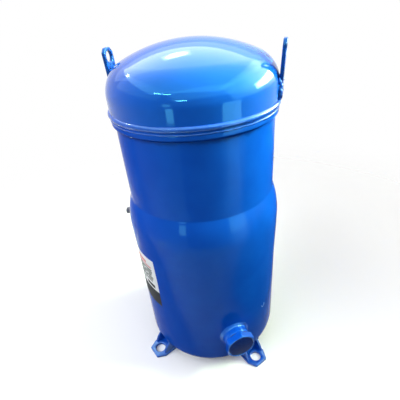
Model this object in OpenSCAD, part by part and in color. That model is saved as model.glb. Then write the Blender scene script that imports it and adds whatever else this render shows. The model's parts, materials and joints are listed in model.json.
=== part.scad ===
// Hermetic scroll compressor: a welded shell with a motor below and a scroll pair above.
// Millimetres, +Z up. The origin is on the shell's axis, level with the underside of the feet.

/* [Feet] */
// Distance between mounting holes, along X and along Y
foot_pitch = 190.5; // [186:0.5:200]
// Diameter of a mounting hole
foot_hole_d = 19; // [15:0.5:21]
// Thickness of a foot's plate
foot_t = 6; // [4:0.5:8]
// Width of a foot where it is widest, at its hole
foot_w = 41; // [36:1:46]
// Width of a foot's straight outer edge
foot_tip_w = 25; // [18:1:30]
// Length of a foot beyond its hole's centre
foot_tip_l = 16; // [14:0.5:20]
// Length of a foot inwards from its hole's centre
foot_root_l = 62; // [52:1:70]
// Thickness of a foot's upturned sides
foot_side_t = 4; // [3:0.5:6]
// Height of a foot's upturned sides above its plate
foot_side_h = 26; // [18:1:30]

/* [Shell] */
// Outer radius of the lower shell
shell_r = 125.5; // [122:0.5:130]
// Growth of the shell's radius at its widest, under the shoulder
shell_swell = 1.6; // [1:0.1:4]
// Outer radius of the neck
neck_r = 117.5; // [115:0.5:120]
// Thickness of the shell's wall
shell_wall = 4; // [3:0.25:5]
// Radius of the shell's rounded bottom edge
shell_edge_r = 37; // [34:1:44]
// Height of the shell from its bottom to its mouth
shell_h = 460; // [448:1:490]
// Height over which the lower shell swells
swell_h = 98; // [90:1:110]
// Height of the rounded shoulder
shoulder_h = 51; // [46:1:60]
// Height of the straight neck
neck_h = 116; // [106:1:130]
// Height of the flare under the shell's mouth
flare_h = 5; // [4:0.5:12]
// Height of the straight band at the shell's mouth
mouth_h = 6; // [5:0.5:12]

/* [Cap] */
// Outer radius of the cap, of the separator's rim and of the shell's mouth
cap_r = 122; // [121:0.5:124]
// Thickness of the cap's wall
cap_wall = 5; // [4:0.25:6]
// Height of the cap's straight skirt
cap_skirt_h = 23; // [20:1:30]
// Radius of the cap's rounded edge
cap_edge_r = 46; // [40:1:56]
// Radius of the cap's crown
cap_crown_r = 222; // [205:1:250]
// Radius of the weld bead's round section
bead_r = 4.4; // [3.6:0.1:5]
// How far the bead stands out from the cap
bead_out = 3; // [2:0.1:3.4]

/* [Lifting lugs] */
// Thickness of a lug
lug_t = 5; // [4:0.5:6]
// Width of a lug
lug_w = 24; // [22:1:30]
// Width of a lug's top edge
lug_top_w = 12; // [10:1:16]
// Height of a lug
lug_h = 72; // [66:1:80]
// Height of a lug's sloping corners
lug_corner_h = 6; // [5:1:10]
// How far a lug leans outwards at its top
lug_lean = 2.5; // [0:0.5:4]
// Diameter of a lug's eye
lug_eye_d = 16; // [13:0.5:16.5]
// Depth of the eye's centre below the lug's top
lug_eye_drop = 12; // [11.5:0.5:16]
// Angle of both lugs about the axis, clockwise from the right and from the left
lug_turn = 7; // [0:1:12]

/* [Ports] */
// Direction of the oil port, from the front towards the right
oil_port_az = 27.5; // [15:0.5:40]
// Height of the oil port above the shell's rounded bottom edge
oil_port_up = 49; // [48:1:56]
// Radius of the oil port's stub
oil_stub_r = 23; // [20:0.5:23.5]
// Length of the oil port's stub outside the shell
oil_stub_l = 13.5; // [12:0.5:20]
// Radius of the bore in the oil port's stub
oil_bore_r = 11; // [9:0.5:12]
// Thickness of the oil port's gasket
oil_gasket_t = 1.5; // [1:0.25:3]
// Width across flats of the oil port's hexagonal plug
plug_af = 47; // [45:1:50]
// Thickness of the plug's hexagon
plug_t = 12; // [10:0.5:16]
// Length of the plug's shank
plug_shank_l = 16; // [10:1:20]
// Turn of the plug's upper corner from upright
plug_turn = -3; // [-30:1:30]
// Radius of the tube that fits the suction stub
suction_tube_r = 17.46; // [14:0.01:19]
// Height of the suction stub above the foot of the shoulder
suction_up = 12; // [6:1:18]
// Radius of the tube that fits the discharge stub
discharge_tube_r = 14.29; // [11:0.01:16]
// Depth of both tube sockets
socket_l = 24; // [18:1:30]
// Wall of both stubs around their socket
stub_wall = 3; // [2:0.25:4]
// Length of both stubs outside the shell and the cap
stub_l = 38; // [32:1:44]
// Length of both stubs inside the shell and the cap, from the wall's outer face
stub_in_l = 12; // [10:1:14]
// Direction of the gauge port, from the front towards the right
gauge_az = 270; // [262:1:280]
// Depth of the gauge port below the foot of the shoulder
gauge_drop = 11; // [4:1:20]
// Radius of the gauge port's cap
gauge_cap_r = 6; // [5:0.25:8]
// How far the gauge port stands out from the shell
gauge_l = 17; // [15:0.5:24]

/* [Terminal box] */
// Direction of the terminal box, from the front towards the right
term_az = 218; // [214:1:221]
// Height of the terminal box's middle above the foot of the shoulder
term_up = 22; // [18:1:26]
// Width of the terminal box
term_w = 100; // [94:1:104]
// Height of the terminal box
term_h = 110; // [104:1:120]
// Depth of the terminal box without its cover
term_d = 40; // [34:1:46]
// Depth of the terminal box's cover
term_cover_d = 12; // [10:1:16]
// Wall of the terminal box and of its cover
term_wall = 3; // [2:0.25:4]
// Radius of the hermetic terminal's cup
term_cup_r = 29; // [26:0.5:31]
// Radius of a terminal pin
term_pin_r = 3; // [2.5:0.25:3.5]

/* [Motor] */
// How far the motor's middle lies below the middle between the two bearings
motor_drop = 6; // [0:0.5:10]
// Length of the stator's and the rotor's stack
stack_h = 100; // [90:1:104]
// Radius of the stator's bore
stator_bore_r = 62; // [58:0.5:64]
// Gap between rotor and stator
air_gap = 0.7; // [0.5:0.1:1.2]
// Number of stator slots
slot_count = 24; // [18:6:30]
// Depth of a stator slot behind its opening
slot_d = 30; // [24:1:34]
// Height of the stator's end turns
end_turn_h = 28; // [22:1:30]
// Height of a rotor's end ring
end_ring_h = 10; // [8:1:12]
// Height of the upper counterweight
upper_weight_h = 24; // [18:1:28]
// Height of the lower counterweight
lower_weight_h = 18; // [12:1:20]

/* [Crankshaft] */
// Radius of the main journal
main_r = 25; // [23:0.5:27]
// Radius of the shaft in the rotor
rotor_shaft_r = 21; // [19:0.5:22]
// Radius of the lower journal
lower_r = 17; // [15:0.5:18]
// Radius of the crank pin
pin_r = 13; // [11:0.5:14]
// Radius of the drive bush on the crank pin
bush_r = 20; // [19:0.5:21]
// Wall of each plain bearing
bearing_t = 4.8; // [3.5:0.1:5]
// Length of the main bearing
main_l = 40; // [34:1:44]
// Height of the lower bearing's underside above the shell's bottom
lower_bearing_up = 53; // [50:1:54]
// Length of the lower bearing
lower_l = 34; // [28:1:38]

/* [Scrolls] */
// Room between the wraps' outer end and the neck's bore, for walls, bolts and the orbit
wrap_room = 24.9; // [24.5:0.1:27]
// Thickness of the wraps
wrap_t = 5; // [4.6:0.1:5.4]
// Height of the wraps
wrap_h = 40; // [36:0.5:42]
// Turns of the orbiting scroll's wrap
wrap_turns = 3; // [2.5:0.25:3]
// Thickness of the fixed scroll's plate
fixed_plate_t = 15.7; // [14:0.1:18]
// Thickness of the orbiting scroll's plate
orbit_plate_t = 11; // [9:0.5:12]
// Thickness of the thrust plate
thrust_t = 3; // [2:0.25:4]
// Width of the thrust plate's ring
thrust_w = 20.7; // [18:0.1:24]
// Number of bolts that hold the fixed scroll
bolt_count = 8; // [6:2:10]
// Radius of those bolts
bolt_r = 3; // [2.5:0.25:3]

/* [Clearances] */
// Gap at a seat between pieces that don't move
fit = 0.1; // [0.05:0.01:0.15]
// Radial running clearance in a plain bearing
run = 0.05; // [0.03:0.01:0.08]
// Axial running clearance between moving faces
axial = 0.3; // [0.2:0.05:0.5]
// Gap between the wraps' flanks
flank = 0.35; // [0.25:0.05:0.5]
// Gap between a wrap's tip and the opposite plate
tip = 0.5; // [0.4:0.05:0.8]
// Gap between a brazed tube and its socket
braze = 0.1; // [0.05:0.01:0.2]

/* [Hidden] */
$fn = 64;
// A cut reaches this far past the face that it opens
over = 1;

// Heights of the shell's sections
base_z = foot_t;
rim_z = base_z + shell_h;
mouth_z = rim_z - mouth_h;
flare_z = mouth_z - flare_h;
neck_z = flare_z - neck_h;
shoulder_z = neck_z - shoulder_h;
swell_z = shoulder_z - swell_h;
swell_r = shell_r + shell_swell;
bore_r = shell_r - shell_wall;
neck_bore_r = neck_r - shell_wall;
mouth_bore_r = cap_r - shell_wall;

// Separator plate and cap
rim_t = 5;
dish_rise = 8;
dish_t = 7;
dish_r = 70;
dish_foot_r = mouth_bore_r - 6;
pilot_h = 5;
valve_port_r = 14;
cap_z = rim_z + rim_t;
cap_edge_z = cap_z + cap_skirt_h;
cap_edge_x = cap_r - cap_edge_r;
cap_angle = asin(cap_edge_x / (cap_crown_r - cap_edge_r));
cap_centre_z = cap_edge_z - (cap_crown_r - cap_edge_r) * cos(cap_angle);
plate_under_z = rim_z + dish_rise;
plate_top_z = plate_under_z + dish_t;

// Weld bead and lugs
bead_z = cap_z + 2;
bead_half_h = sqrt(pow(bead_r, 2) - pow(bead_r - bead_out, 2));
lug_z = bead_z + bead_half_h + 1;
lug_x = cap_r - 1;
lug_bend_z = lug_z + 20;
lug_top_z = lug_z + lug_h;
lug_round = 4;

// Scroll pair, downwards from the separator plate
fixed_drop = 4;
fixed_top_z = rim_z - fixed_drop;
fixed_under_z = fixed_top_z - fixed_plate_t;
orbit_top_z = fixed_under_z - wrap_h - tip;
orbit_under_z = orbit_top_z - orbit_plate_t;
fixed_face_z = orbit_top_z + axial;
thrust_top_z = orbit_under_z - axial;
thrust_z = thrust_top_z - thrust_t;
wrap_step = 10;
wrap_from = 150;
wrap_to = wrap_from + 360 * wrap_turns;
fixed_to = wrap_to + 180;
wrap_base_r = (neck_bore_r - wrap_room) / (fixed_to * PI / 180);
throw = PI * wrap_base_r - wrap_t - flank;
wrap_lag = wrap_t / wrap_base_r * 90 / PI;
pocket_gap = 1;
pocket_r = norm(involute(fixed_to, wrap_lag)) + pocket_gap;
groove_w = wrap_t * 0.4;
groove_d = 2;
groove_from = wrap_from + 3 * wrap_step;
orbit_groove_to = wrap_to - 2 * wrap_step;
seal_proud = 0.2;
orbit_lap = 8;
orbit_plate_r = pocket_r + orbit_lap;
fixed_wall = 13;
fixed_body_r = pocket_r + fixed_wall;
fixed_flange_r = neck_bore_r - 4 * fit;
fixed_flange_t = 14;
window_w = 36;
window_h = 26;
window_lap = 3;
window_az = [10, 190];
float_in_r = 36;
float_out_r = 64;
float_d = 8;
float_step = 2;
float_lip_r = 8;
float_taper = 2;
boss_r = 24;
port_r = 7;
bolt_l = 15;
bolt_head_r = bolt_r * 1.6;
bolt_head_h = bolt_r * 2;

// Main bearing housing
housing_r = neck_bore_r - fit;
chamber_gap = 3;
chamber_r = orbit_plate_r + throw + chamber_gap;
bolt_edge = 1.2;
bolt_circle_r = chamber_r + bolt_r + bolt_edge;
ring_w = 18;
ring_inset = 1.2;
ring_gap = 0.5;
ring_out_r = orbit_plate_r - ring_inset;
ring_in_r = ring_out_r - ring_w;
ring_t = 6.5;
key_w = 10;
key_l = 14;
key_h = 7;
key_gap = 1;
key_r = (ring_in_r + ring_out_r) / 2;
recess_d = 6;
recess_z = thrust_z - recess_d;
land_r = ring_in_r - throw - ring_gap;
land_edge = 1;
ring_z = recess_z + axial;
hub_l = 36;
hub_wall = 6;
hub_gap = 2;
hub_r = bush_r + run + bearing_t + hub_wall;
cavity_r = land_r - thrust_w - 2 * land_edge;
collar_t = 5;
collar_w = 4;
cavity_z = orbit_under_z - hub_l - collar_t - hub_gap;
main_z = cavity_z - main_l;
housing_bore_r = main_r + run + bearing_t + fit;
main_wall = 10;
cavity_wall = 8;
housing_taper = 4;
web_t = 15;
web_z = recess_z - web_t;
web_window_l = 22;
web_window_w = 30;
rim_under_z = web_z - 14;

// Check valve on the separator plate
disc_lap = 3;
disc_gap = 1;
disc_r = valve_port_r + disc_lap;
disc_t = 2;
disc_lift = 6.5;
cage_wall = 4;
cage_roof_t = 3;
cage_window_w = 20;
cage_vent_r = 8;
cage_r = disc_r + disc_gap + cage_wall;
cage_h = disc_t + disc_lift + axial + cage_roof_t;

// Motor and shaft
lower_bearing_z = base_z + lower_bearing_up;
lower_top_z = lower_bearing_z + lower_l;
stator_z = (lower_top_z + main_z) / 2 - motor_drop - stack_h / 2;
rotor_r = stator_bore_r - air_gap;
rotor_z = stator_z;
rotor_top_z = rotor_z + stack_h;
stator_top_z = stator_z + stack_h;
stator_r = bore_r - fit;
tooth_tip_h = 4;
slot_in_r = stator_bore_r + tooth_tip_h;
slot_out_r = slot_in_r + slot_d;
slot_open_w = 3;
tooth_w = 8;
slot_gap = 0.3;
flat_d = 6;
end_turn_round = 8;
end_turn_in_r = slot_in_r + over;
end_turn_out_r = slot_out_r + end_turn_round;
weight_gap = 3;
weight_in_r = rotor_shaft_r + weight_gap;
weight_out_r = rotor_r - weight_gap;
end_ring_in_r = rotor_shaft_r + 16;
end_ring_out_r = rotor_r - 1;
shaft_tail = 28;
shaft_z = lower_bearing_z - shaft_tail;
shaft_neck = 6;
pin_drop = 3;
bush_drop = 4;
shoulder_top_z = lower_top_z + axial;
support_bore_r = lower_r + run + bearing_t + fit;
support_wall = 10;
support_rise = 4;
support_hub_r = support_bore_r + support_wall;
support_z = lower_bearing_z + support_rise;
support_t = 14;
support_rim_w = 13;
support_arm_w = 18;
pickup_l = 14;
pickup_r = 9;
pickup_bore_r = 5;
pickup_inset = 1;
oil_way_r = 3;
oil_way_x = throw * 0.7;

// Outside fittings
hole_u = foot_pitch / sqrt(2);
foot_round = 3;
foot_taper = 4;
foot_side_slope = 0.7;
oil_port_z = base_z + shell_edge_r + oil_port_up;
oil_spigot_wall = 3;
oil_spigot_r = oil_bore_r + oil_spigot_wall;
gasket_inset = 1;
stub_out_r = shell_r + oil_stub_l;
gasket_out_r = stub_out_r + oil_gasket_t;
plug_out_r = gasket_out_r + plug_t;
plug_chamfer = 2.5;
plug_face_inset = 1;
suction_socket_r = suction_tube_r + braze;
suction_r = suction_socket_r + stub_wall;
suction_out = swell_r + stub_l;
suction_z = shoulder_z + suction_up;
discharge_socket_r = discharge_tube_r + braze;
discharge_r = discharge_socket_r + stub_wall;
stub_collar = 6;
discharge_out = cap_r + stub_l;
discharge_z = lug_z + discharge_r + stub_collar;
stub_step = 2;
rear_az = 180;
baffle_t = 2;
baffle_r = swell_r - stub_in_l - baffle_t;
baffle_h = 46;
baffle_angle = 44;
gauge_r = 4;
gauge_collar_r = 7.5;
gauge_collar_h = 4;
gauge_cap_gap = 3;
gauge_cap_t = 3;
gauge_z = shoulder_z - gauge_drop;
gauge_out = swell_r + gauge_l;
spigot_proud = 2;
spigot_in = bore_r - spigot_proud;
term_z = shoulder_z + term_up;
saddle_gap = 3;
box_back = swell_r + saddle_gap;
box_front = box_back + term_d;
cover_front = box_front + term_cover_d;
box_round = 8;
boss_out_r = 6;
box_screw_r = 2;
saddle_side = 8;
saddle_end = 12;
saddle_w = term_w - 2 * saddle_side;
saddle_h = term_h - 2 * saddle_end;
saddle_l = 29;
saddle_in = box_back - saddle_l;
saddle_hole_r = term_cup_r + 4;
boss_inset = 1;
screw_x = term_w / 2 - boss_out_r - boss_inset;
screw_y = term_h / 2 - boss_out_r - boss_inset;
screw_head_r = 4.5;
screw_head_h = 3;
screw_slot_w = 1.2;
screw_slot_d = 1;
screw_l = 14;
screw_gap = 2;
cup_h = 18;
cup_out = swell_r;
cup_in = cup_out - cup_h;
cup_wall = 3.5;
pin_circle_r = term_cup_r * 0.42;
glass_t = 3;
bead_glass_r = term_pin_r + glass_t;
pin_reach = 14;
pin_in = cup_in - pin_reach;
pin_out = box_back + pin_reach;
earth_inset = 8;
earth_x = -(saddle_w / 2 - earth_inset);
earth_y = -(saddle_h / 2 - earth_inset);
earth_r = 2.5;
earth_head_h = 4;
earth_l = 6;
knockout_x = [-22, 22];
knockout_r = [14.5, 11];
knockout_inset = 1;

function arc(c, r, from, to, n) =
    [for (i = [0:n]) let (a = from + (to - from) * i / n) c + r * [cos(a), sin(a)]];
function ease(i, n) = (1 - cos(180 * i / n)) / 2;
function reversed(list) = [for (i = [len(list) - 1:-1:0]) list[i]];
function unit(v) = v / norm(v);

// Arc of radius r that rounds the corner q between its neighbours p and s
function corner(p, q, s, r, n) =
    let (a = unit(p - q), b = unit(s - q), half = acos(a * b) / 2)
    let (c = q + unit(a + b) * r / sin(half), d = r / tan(half))
    let (u = q + a * d - c, v = q + b * d - c)
    let (from = atan2(u[1], u[0]), turn = (atan2(v[1], v[0]) - from + 540) % 360 - 180)
    arc(c, r, from, from + turn, n);
function rounded(pts, r, n = 4) =
    let (k = len(pts))
    [for (i = [0:k - 1]) each corner(pts[(i + k - 1) % k], pts[i], pts[(i + 1) % k], r, n)];
function rectangle(w, h) = [[-w / 2, -h / 2], [w / 2, -h / 2], [w / 2, h / 2], [-w / 2, h / 2]];

// Outline of the shell from its bottom centre to its mouth, moved outwards by g
function shell_path(g) = concat(
    [[0, base_z - g]],
    arc([shell_r - shell_edge_r, base_z + shell_edge_r], shell_edge_r + g, -90, 0, 10),
    [for (i = [0:8]) [shell_r + shell_swell * ease(i, 8) + g, swell_z + swell_h * i / 8]],
    [for (i = [1:8]) [swell_r - (swell_r - neck_r) * pow(i / 8, 2) + g, shoulder_z + shoulder_h * i / 8]],
    [for (i = [0:6]) [neck_r + (cap_r - neck_r) * ease(i, 6) + g, flare_z + flare_h * i / 6]],
    [[cap_r + g, rim_z]]);

// Outline of the cap from its skirt's lower edge to its top centre, moved outwards by g
function cap_path(g) = concat(
    [[cap_r + g, cap_z]],
    arc([cap_edge_x, cap_edge_z], cap_edge_r + g, 0, 90 - cap_angle, 12),
    [for (p = arc([0, cap_centre_z], cap_crown_r + g, 90 - cap_angle, 90, 6)) [max(p[0], 0), p[1]]]);

// Point of an involute at angle phi, shifted along its base circle by the angle lag
function involute(phi, lag) =
    let (t = (phi - lag) * PI / 180)
    wrap_base_r * [cos(phi) + t * sin(phi), sin(phi) - t * cos(phi)];
function wrap_outline(t, from, to) =
    let (lag = t / wrap_base_r * 90 / PI)
    concat([for (a = [from:wrap_step:to]) involute(a, -lag)],
        [for (a = [to:-wrap_step:from]) involute(a, lag)]);

// Solid inside an outline that starts or ends on the axis
module turned(path, z_close) {
    rotate_extrude() polygon(concat(path, [[0, z_close]]));
}
module shell_solid(g) {
    turned(shell_path(g), rim_z);
}
module cap_solid(g) {
    turned(cap_path(g), cap_z);
}
module ring(r_in, r_out, z, h) {
    translate([0, 0, z]) difference() {
        cylinder(r = r_out, h = h);
        translate([0, 0, -over]) cylinder(r = r_in, h = h + 2 * over);
    }
}
// Draws its children with Z outwards from the axis, in direction az at height z
module outwards(az, z) {
    rotate([0, 0, az]) translate([0, 0, z]) rotate([90, 0, 0]) children();
}
module radial_hole(az, z, r) {
    outwards(az, z) cylinder(r = r, h = swell_r + over);
}
module wrap(t, from, to, z, h) {
    translate([0, 0, z]) linear_extrude(h) polygon(wrap_outline(t, from, to));
}

module main_shell() {
    color("royalblue") difference() {
        rotate_extrude() polygon(concat(shell_path(0), reversed(shell_path(-shell_wall))));
        radial_hole(oil_port_az, oil_port_z, oil_spigot_r + fit);
        radial_hole(rear_az, suction_z, suction_r + fit);
        radial_hole(gauge_az, gauge_z, gauge_r + fit);
        radial_hole(term_az, term_z, term_cup_r + fit);
    }
}

module separator_plate() {
    color("royalblue") rotate_extrude() polygon([
        [valve_port_r, plate_under_z], [dish_r, plate_under_z], [dish_foot_r, rim_z],
        [dish_foot_r, rim_z - pilot_h], [mouth_bore_r - fit, rim_z - pilot_h],
        [mouth_bore_r - fit, rim_z], [cap_r, rim_z], [cap_r, cap_z],
        [dish_foot_r, cap_z], [dish_r, plate_top_z], [valve_port_r, plate_top_z]]);
}

module top_cap() {
    color("royalblue") difference() {
        rotate_extrude() polygon(concat(cap_path(0), reversed(cap_path(-cap_wall))));
        outwards(rear_az, discharge_z) cylinder(r = discharge_r + fit, h = discharge_out);
    }
}

module cap_weld_bead() {
    color("royalblue") rotate_extrude() difference() {
        translate([cap_r + bead_out - bead_r, bead_z]) circle(r = bead_r);
        translate([0, bead_z - 2 * bead_r]) square([cap_r + fit, 4 * bead_r]);
    }
}

// Lug on the right of the cap, before it is turned about the axis
module lifting_lug() {
    shift = lug_x + lug_t;
    color("royalblue") difference() {
        intersection() {
            rotate([90, 0, 0]) linear_extrude(lug_w + 2 * over, center = true) polygon([
                [lug_x, lug_z], [shift, lug_z], [shift, lug_bend_z],
                [shift + lug_lean, lug_top_z], [lug_x + lug_lean, lug_top_z], [lug_x, lug_bend_z]]);
            rotate([90, 0, 90]) linear_extrude(2 * cap_r) polygon(rounded([
                [-lug_w / 2, lug_z], [lug_w / 2, lug_z],
                [lug_w / 2, lug_top_z - lug_corner_h], [lug_top_w / 2, lug_top_z],
                [-lug_top_w / 2, lug_top_z], [-lug_w / 2, lug_top_z - lug_corner_h]], lug_round));
        }
        translate([0, 0, lug_top_z - lug_eye_drop]) rotate([0, 90, 0])
            cylinder(d = lug_eye_d, h = shift + lug_lean + over);
        cap_solid(fit);
    }
}
module lifting_lug_right() {
    rotate([0, 0, -lug_turn]) lifting_lug();
}
module lifting_lug_left() {
    rotate([0, 0, -lug_turn]) mirror([1, 0, 0]) lifting_lug();
}

// Foot that points along az: a plate with two sides folded up against the shell
module mounting_foot(az) {
    root_u = hole_u - foot_root_l;
    tip_u = hole_u + foot_tip_l;
    root_w = foot_w - foot_taper;
    color("royalblue") difference() {
        rotate([0, 0, az]) difference() {
            union() {
                linear_extrude(foot_t) polygon(rounded([
                    [root_u, -root_w / 2], [hole_u, -foot_w / 2], [tip_u, -foot_tip_w / 2],
                    [tip_u, foot_tip_w / 2], [hole_u, foot_w / 2], [root_u, root_w / 2]], foot_round));
                for (side = [-1, 1])
                    translate([0, side * (root_w - foot_side_t) / 2, foot_t]) rotate([90, 0, 0])
                        linear_extrude(foot_side_t, center = true) polygon([
                            [root_u + 2 * foot_round, 0], [hole_u, 0],
                            [hole_u - foot_side_h * foot_side_slope, foot_side_h],
                            [root_u + 2 * foot_round, foot_side_h]]);
            }
            translate([hole_u, 0, -over]) cylinder(d = foot_hole_d, h = foot_t + 2 * over);
        }
        shell_solid(fit);
    }
}
module mounting_foot_front_right() {
    mounting_foot(-45);
}
module mounting_foot_rear_right() {
    mounting_foot(45);
}
module mounting_foot_rear_left() {
    mounting_foot(135);
}
module mounting_foot_front_left() {
    mounting_foot(225);
}

module oil_port_stub() {
    color("royalblue") difference() {
        union() {
            difference() {
                outwards(oil_port_az, oil_port_z) cylinder(r = oil_stub_r, h = stub_out_r);
                shell_solid(fit);
            }
            outwards(oil_port_az, oil_port_z) translate([0, 0, spigot_in])
                cylinder(r = oil_spigot_r, h = stub_out_r - spigot_in);
        }
        outwards(oil_port_az, oil_port_z) cylinder(r = oil_bore_r, h = stub_out_r + over);
    }
}
module oil_port_gasket() {
    color("dimgray") outwards(oil_port_az, oil_port_z)
        ring(oil_bore_r, oil_stub_r - gasket_inset, stub_out_r, oil_gasket_t);
}
module oil_port_plug() {
    corner_r = plug_af / sqrt(3);
    color("royalblue") outwards(oil_port_az, oil_port_z) {
        intersection() {
            translate([0, 0, gasket_out_r]) rotate([0, 0, 90 + plug_turn])
                cylinder(r = corner_r, h = plug_t, $fn = 6);
            translate([0, 0, gasket_out_r]) rotate_extrude() polygon([
                [0, 0], [corner_r + over, 0], [corner_r + over, plug_t - plug_chamfer - over],
                [plug_af / 2 - plug_face_inset, plug_t], [0, plug_t]]);
        }
        translate([0, 0, gasket_out_r - plug_shank_l])
            cylinder(r = oil_bore_r - fit, h = plug_shank_l + plug_t / 2);
    }
}

// Stub with a tube socket, through a wall of radius wall_r
module tube_stub(z, r, socket_r, wall_r, out) {
    difference() {
        union() {
            difference() {
                outwards(rear_az, z) cylinder(r = r + stub_collar, h = wall_r + stub_collar);
                children();
            }
            outwards(rear_az, z) translate([0, 0, wall_r - stub_in_l])
                cylinder(r = r, h = out - wall_r + stub_in_l);
        }
        outwards(rear_az, z) cylinder(r = socket_r - stub_step, h = out);
        outwards(rear_az, z) translate([0, 0, out - socket_l]) cylinder(r = socket_r, h = socket_l + over);
    }
}
module suction_stub() {
    color("peru") tube_stub(suction_z, suction_r, suction_socket_r, swell_r, suction_out)
        shell_solid(fit);
}
module discharge_stub() {
    color("peru") tube_stub(discharge_z, discharge_r, discharge_socket_r, cap_r, discharge_out)
        cap_solid(fit);
}

module gauge_port_stub() {
    color("royalblue") union() {
        difference() {
            outwards(gauge_az, gauge_z) cylinder(r = gauge_collar_r, h = swell_r + gauge_collar_h);
            shell_solid(fit);
        }
        outwards(gauge_az, gauge_z) translate([0, 0, spigot_in])
            cylinder(r = gauge_r, h = gauge_out - gauge_cap_t - spigot_in);
    }
}
module gauge_port_cap() {
    open = swell_r + gauge_collar_h + gauge_cap_gap;
    edge_r = gauge_cap_r - gauge_r;
    color("royalblue") outwards(gauge_az, gauge_z) difference() {
        translate([0, 0, open]) rotate_extrude() polygon(concat(
            [[0, 0], [gauge_cap_r, 0]],
            arc([gauge_cap_r - edge_r, gauge_out - open - edge_r], edge_r, 0, 90, 4),
            [[0, gauge_out - open]]));
        cylinder(r = gauge_r + fit, h = gauge_out - gauge_cap_t + fit);
    }
}

module terminal_saddle() {
    color("royalblue") difference() {
        outwards(term_az, term_z) difference() {
            translate([0, 0, saddle_in]) linear_extrude(box_back - saddle_in)
                polygon(rounded(rectangle(saddle_w, saddle_h), box_round));
            cylinder(r = saddle_hole_r, h = box_back + over);
            translate([earth_x, earth_y, 0]) cylinder(r = earth_r + fit, h = box_back + over);
        }
        shell_solid(fit);
    }
}
module box_outline(inset) {
    polygon(rounded(rectangle(term_w - 2 * inset, term_h - 2 * inset), box_round - inset));
}
module at_box_screws() {
    for (x = [-screw_x, screw_x], y = [-screw_y, screw_y]) translate([x, y, 0]) children();
}
module terminal_box() {
    color("dimgray") outwards(term_az, term_z) difference() {
        union() {
            translate([0, 0, box_back]) difference() {
                linear_extrude(term_d) box_outline(0);
                translate([0, 0, term_wall]) linear_extrude(term_d) box_outline(term_wall);
            }
            at_box_screws() translate([0, 0, box_back]) cylinder(r = boss_out_r, h = term_d);
        }
        cylinder(r = saddle_hole_r, h = box_back + term_wall + over);
        translate([earth_x, earth_y, 0]) cylinder(r = earth_r + fit, h = box_front);
        at_box_screws() translate([0, 0, box_front - screw_l])
            cylinder(r = box_screw_r + fit, h = screw_l + over);
        for (i = [0, 1]) translate([knockout_x[i], 0, box_back + term_d / 2]) rotate([90, 0, 0])
            cylinder(r = knockout_r[i] + fit, h = term_h);
    }
}
module terminal_cover() {
    color("dimgray") outwards(term_az, term_z) difference() {
        union() {
            translate([0, 0, box_front]) difference() {
                linear_extrude(term_cover_d) box_outline(0);
                translate([0, 0, -over]) linear_extrude(term_cover_d - term_wall + over)
                    box_outline(term_wall);
            }
            at_box_screws() translate([0, 0, box_front]) cylinder(r = boss_out_r, h = term_cover_d);
        }
        at_box_screws() translate([0, 0, box_front - over])
            cylinder(r = box_screw_r + fit, h = term_cover_d + 2 * over);
    }
}
module terminal_cover_screws() {
    color("silver") outwards(term_az, term_z) at_box_screws() {
        translate([0, 0, cover_front]) difference() {
            cylinder(r = screw_head_r, h = screw_head_h);
            translate([-screw_head_r, -screw_slot_w / 2, screw_head_h - screw_slot_d])
                cube([2 * screw_head_r, screw_slot_w, screw_slot_d + over]);
        }
        translate([0, 0, box_front - screw_l + screw_gap])
            cylinder(r = box_screw_r, h = screw_l - screw_gap + term_cover_d + over);
    }
}
module at_pins() {
    for (a = [90, 210, 330]) rotate([0, 0, a]) translate([pin_circle_r, 0, 0]) children();
}
module terminal_cup() {
    color("silver") outwards(term_az, term_z) difference() {
        translate([0, 0, cup_in]) difference() {
            cylinder(r = term_cup_r, h = cup_out - cup_in);
            translate([0, 0, cup_wall]) cylinder(r = term_cup_r - cup_wall, h = cup_out);
        }
        at_pins() cylinder(r = bead_glass_r + fit, h = box_back);
    }
}
module terminal_glass() {
    color("teal") outwards(term_az, term_z) at_pins()
        ring(term_pin_r + fit, bead_glass_r, cup_in, cup_wall);
}
module terminal_pins() {
    color("goldenrod") outwards(term_az, term_z) at_pins() translate([0, 0, pin_in])
        cylinder(r = term_pin_r, h = pin_out - pin_in);
}
module terminal_earth_screw() {
    color("silver") outwards(term_az, term_z) translate([earth_x, earth_y, 0]) {
        translate([0, 0, box_back + term_wall]) cylinder(r = 2 * earth_r, h = earth_head_h, $fn = 6);
        translate([0, 0, box_back + term_wall - earth_l]) cylinder(r = earth_r, h = earth_l + over);
    }
}
module terminal_knockouts() {
    color("dimgray") outwards(term_az, term_z) for (i = [0, 1])
        translate([knockout_x[i], -(term_h / 2 - term_wall), box_back + term_d / 2])
            rotate([90, 0, 0]) cylinder(r = knockout_r[i], h = term_wall - knockout_inset);
}

module suction_baffle() {
    low_z = suction_z - baffle_h / 2;
    color("silver") intersection() {
        turned(shell_path(-shell_wall - fit), rim_z);
        rotate([0, 0, 90 - baffle_angle / 2]) union() {
            translate([0, 0, low_z]) rotate_extrude(angle = baffle_angle)
                translate([baffle_r - baffle_t, 0]) square([baffle_t, baffle_h]);
            for (a = [0, baffle_angle]) rotate([0, 0, a])
                translate([baffle_r - baffle_t, a == 0 ? 0 : -baffle_t, low_z])
                    cube([swell_r - baffle_r, baffle_t, baffle_h]);
        }
    }
}

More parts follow.
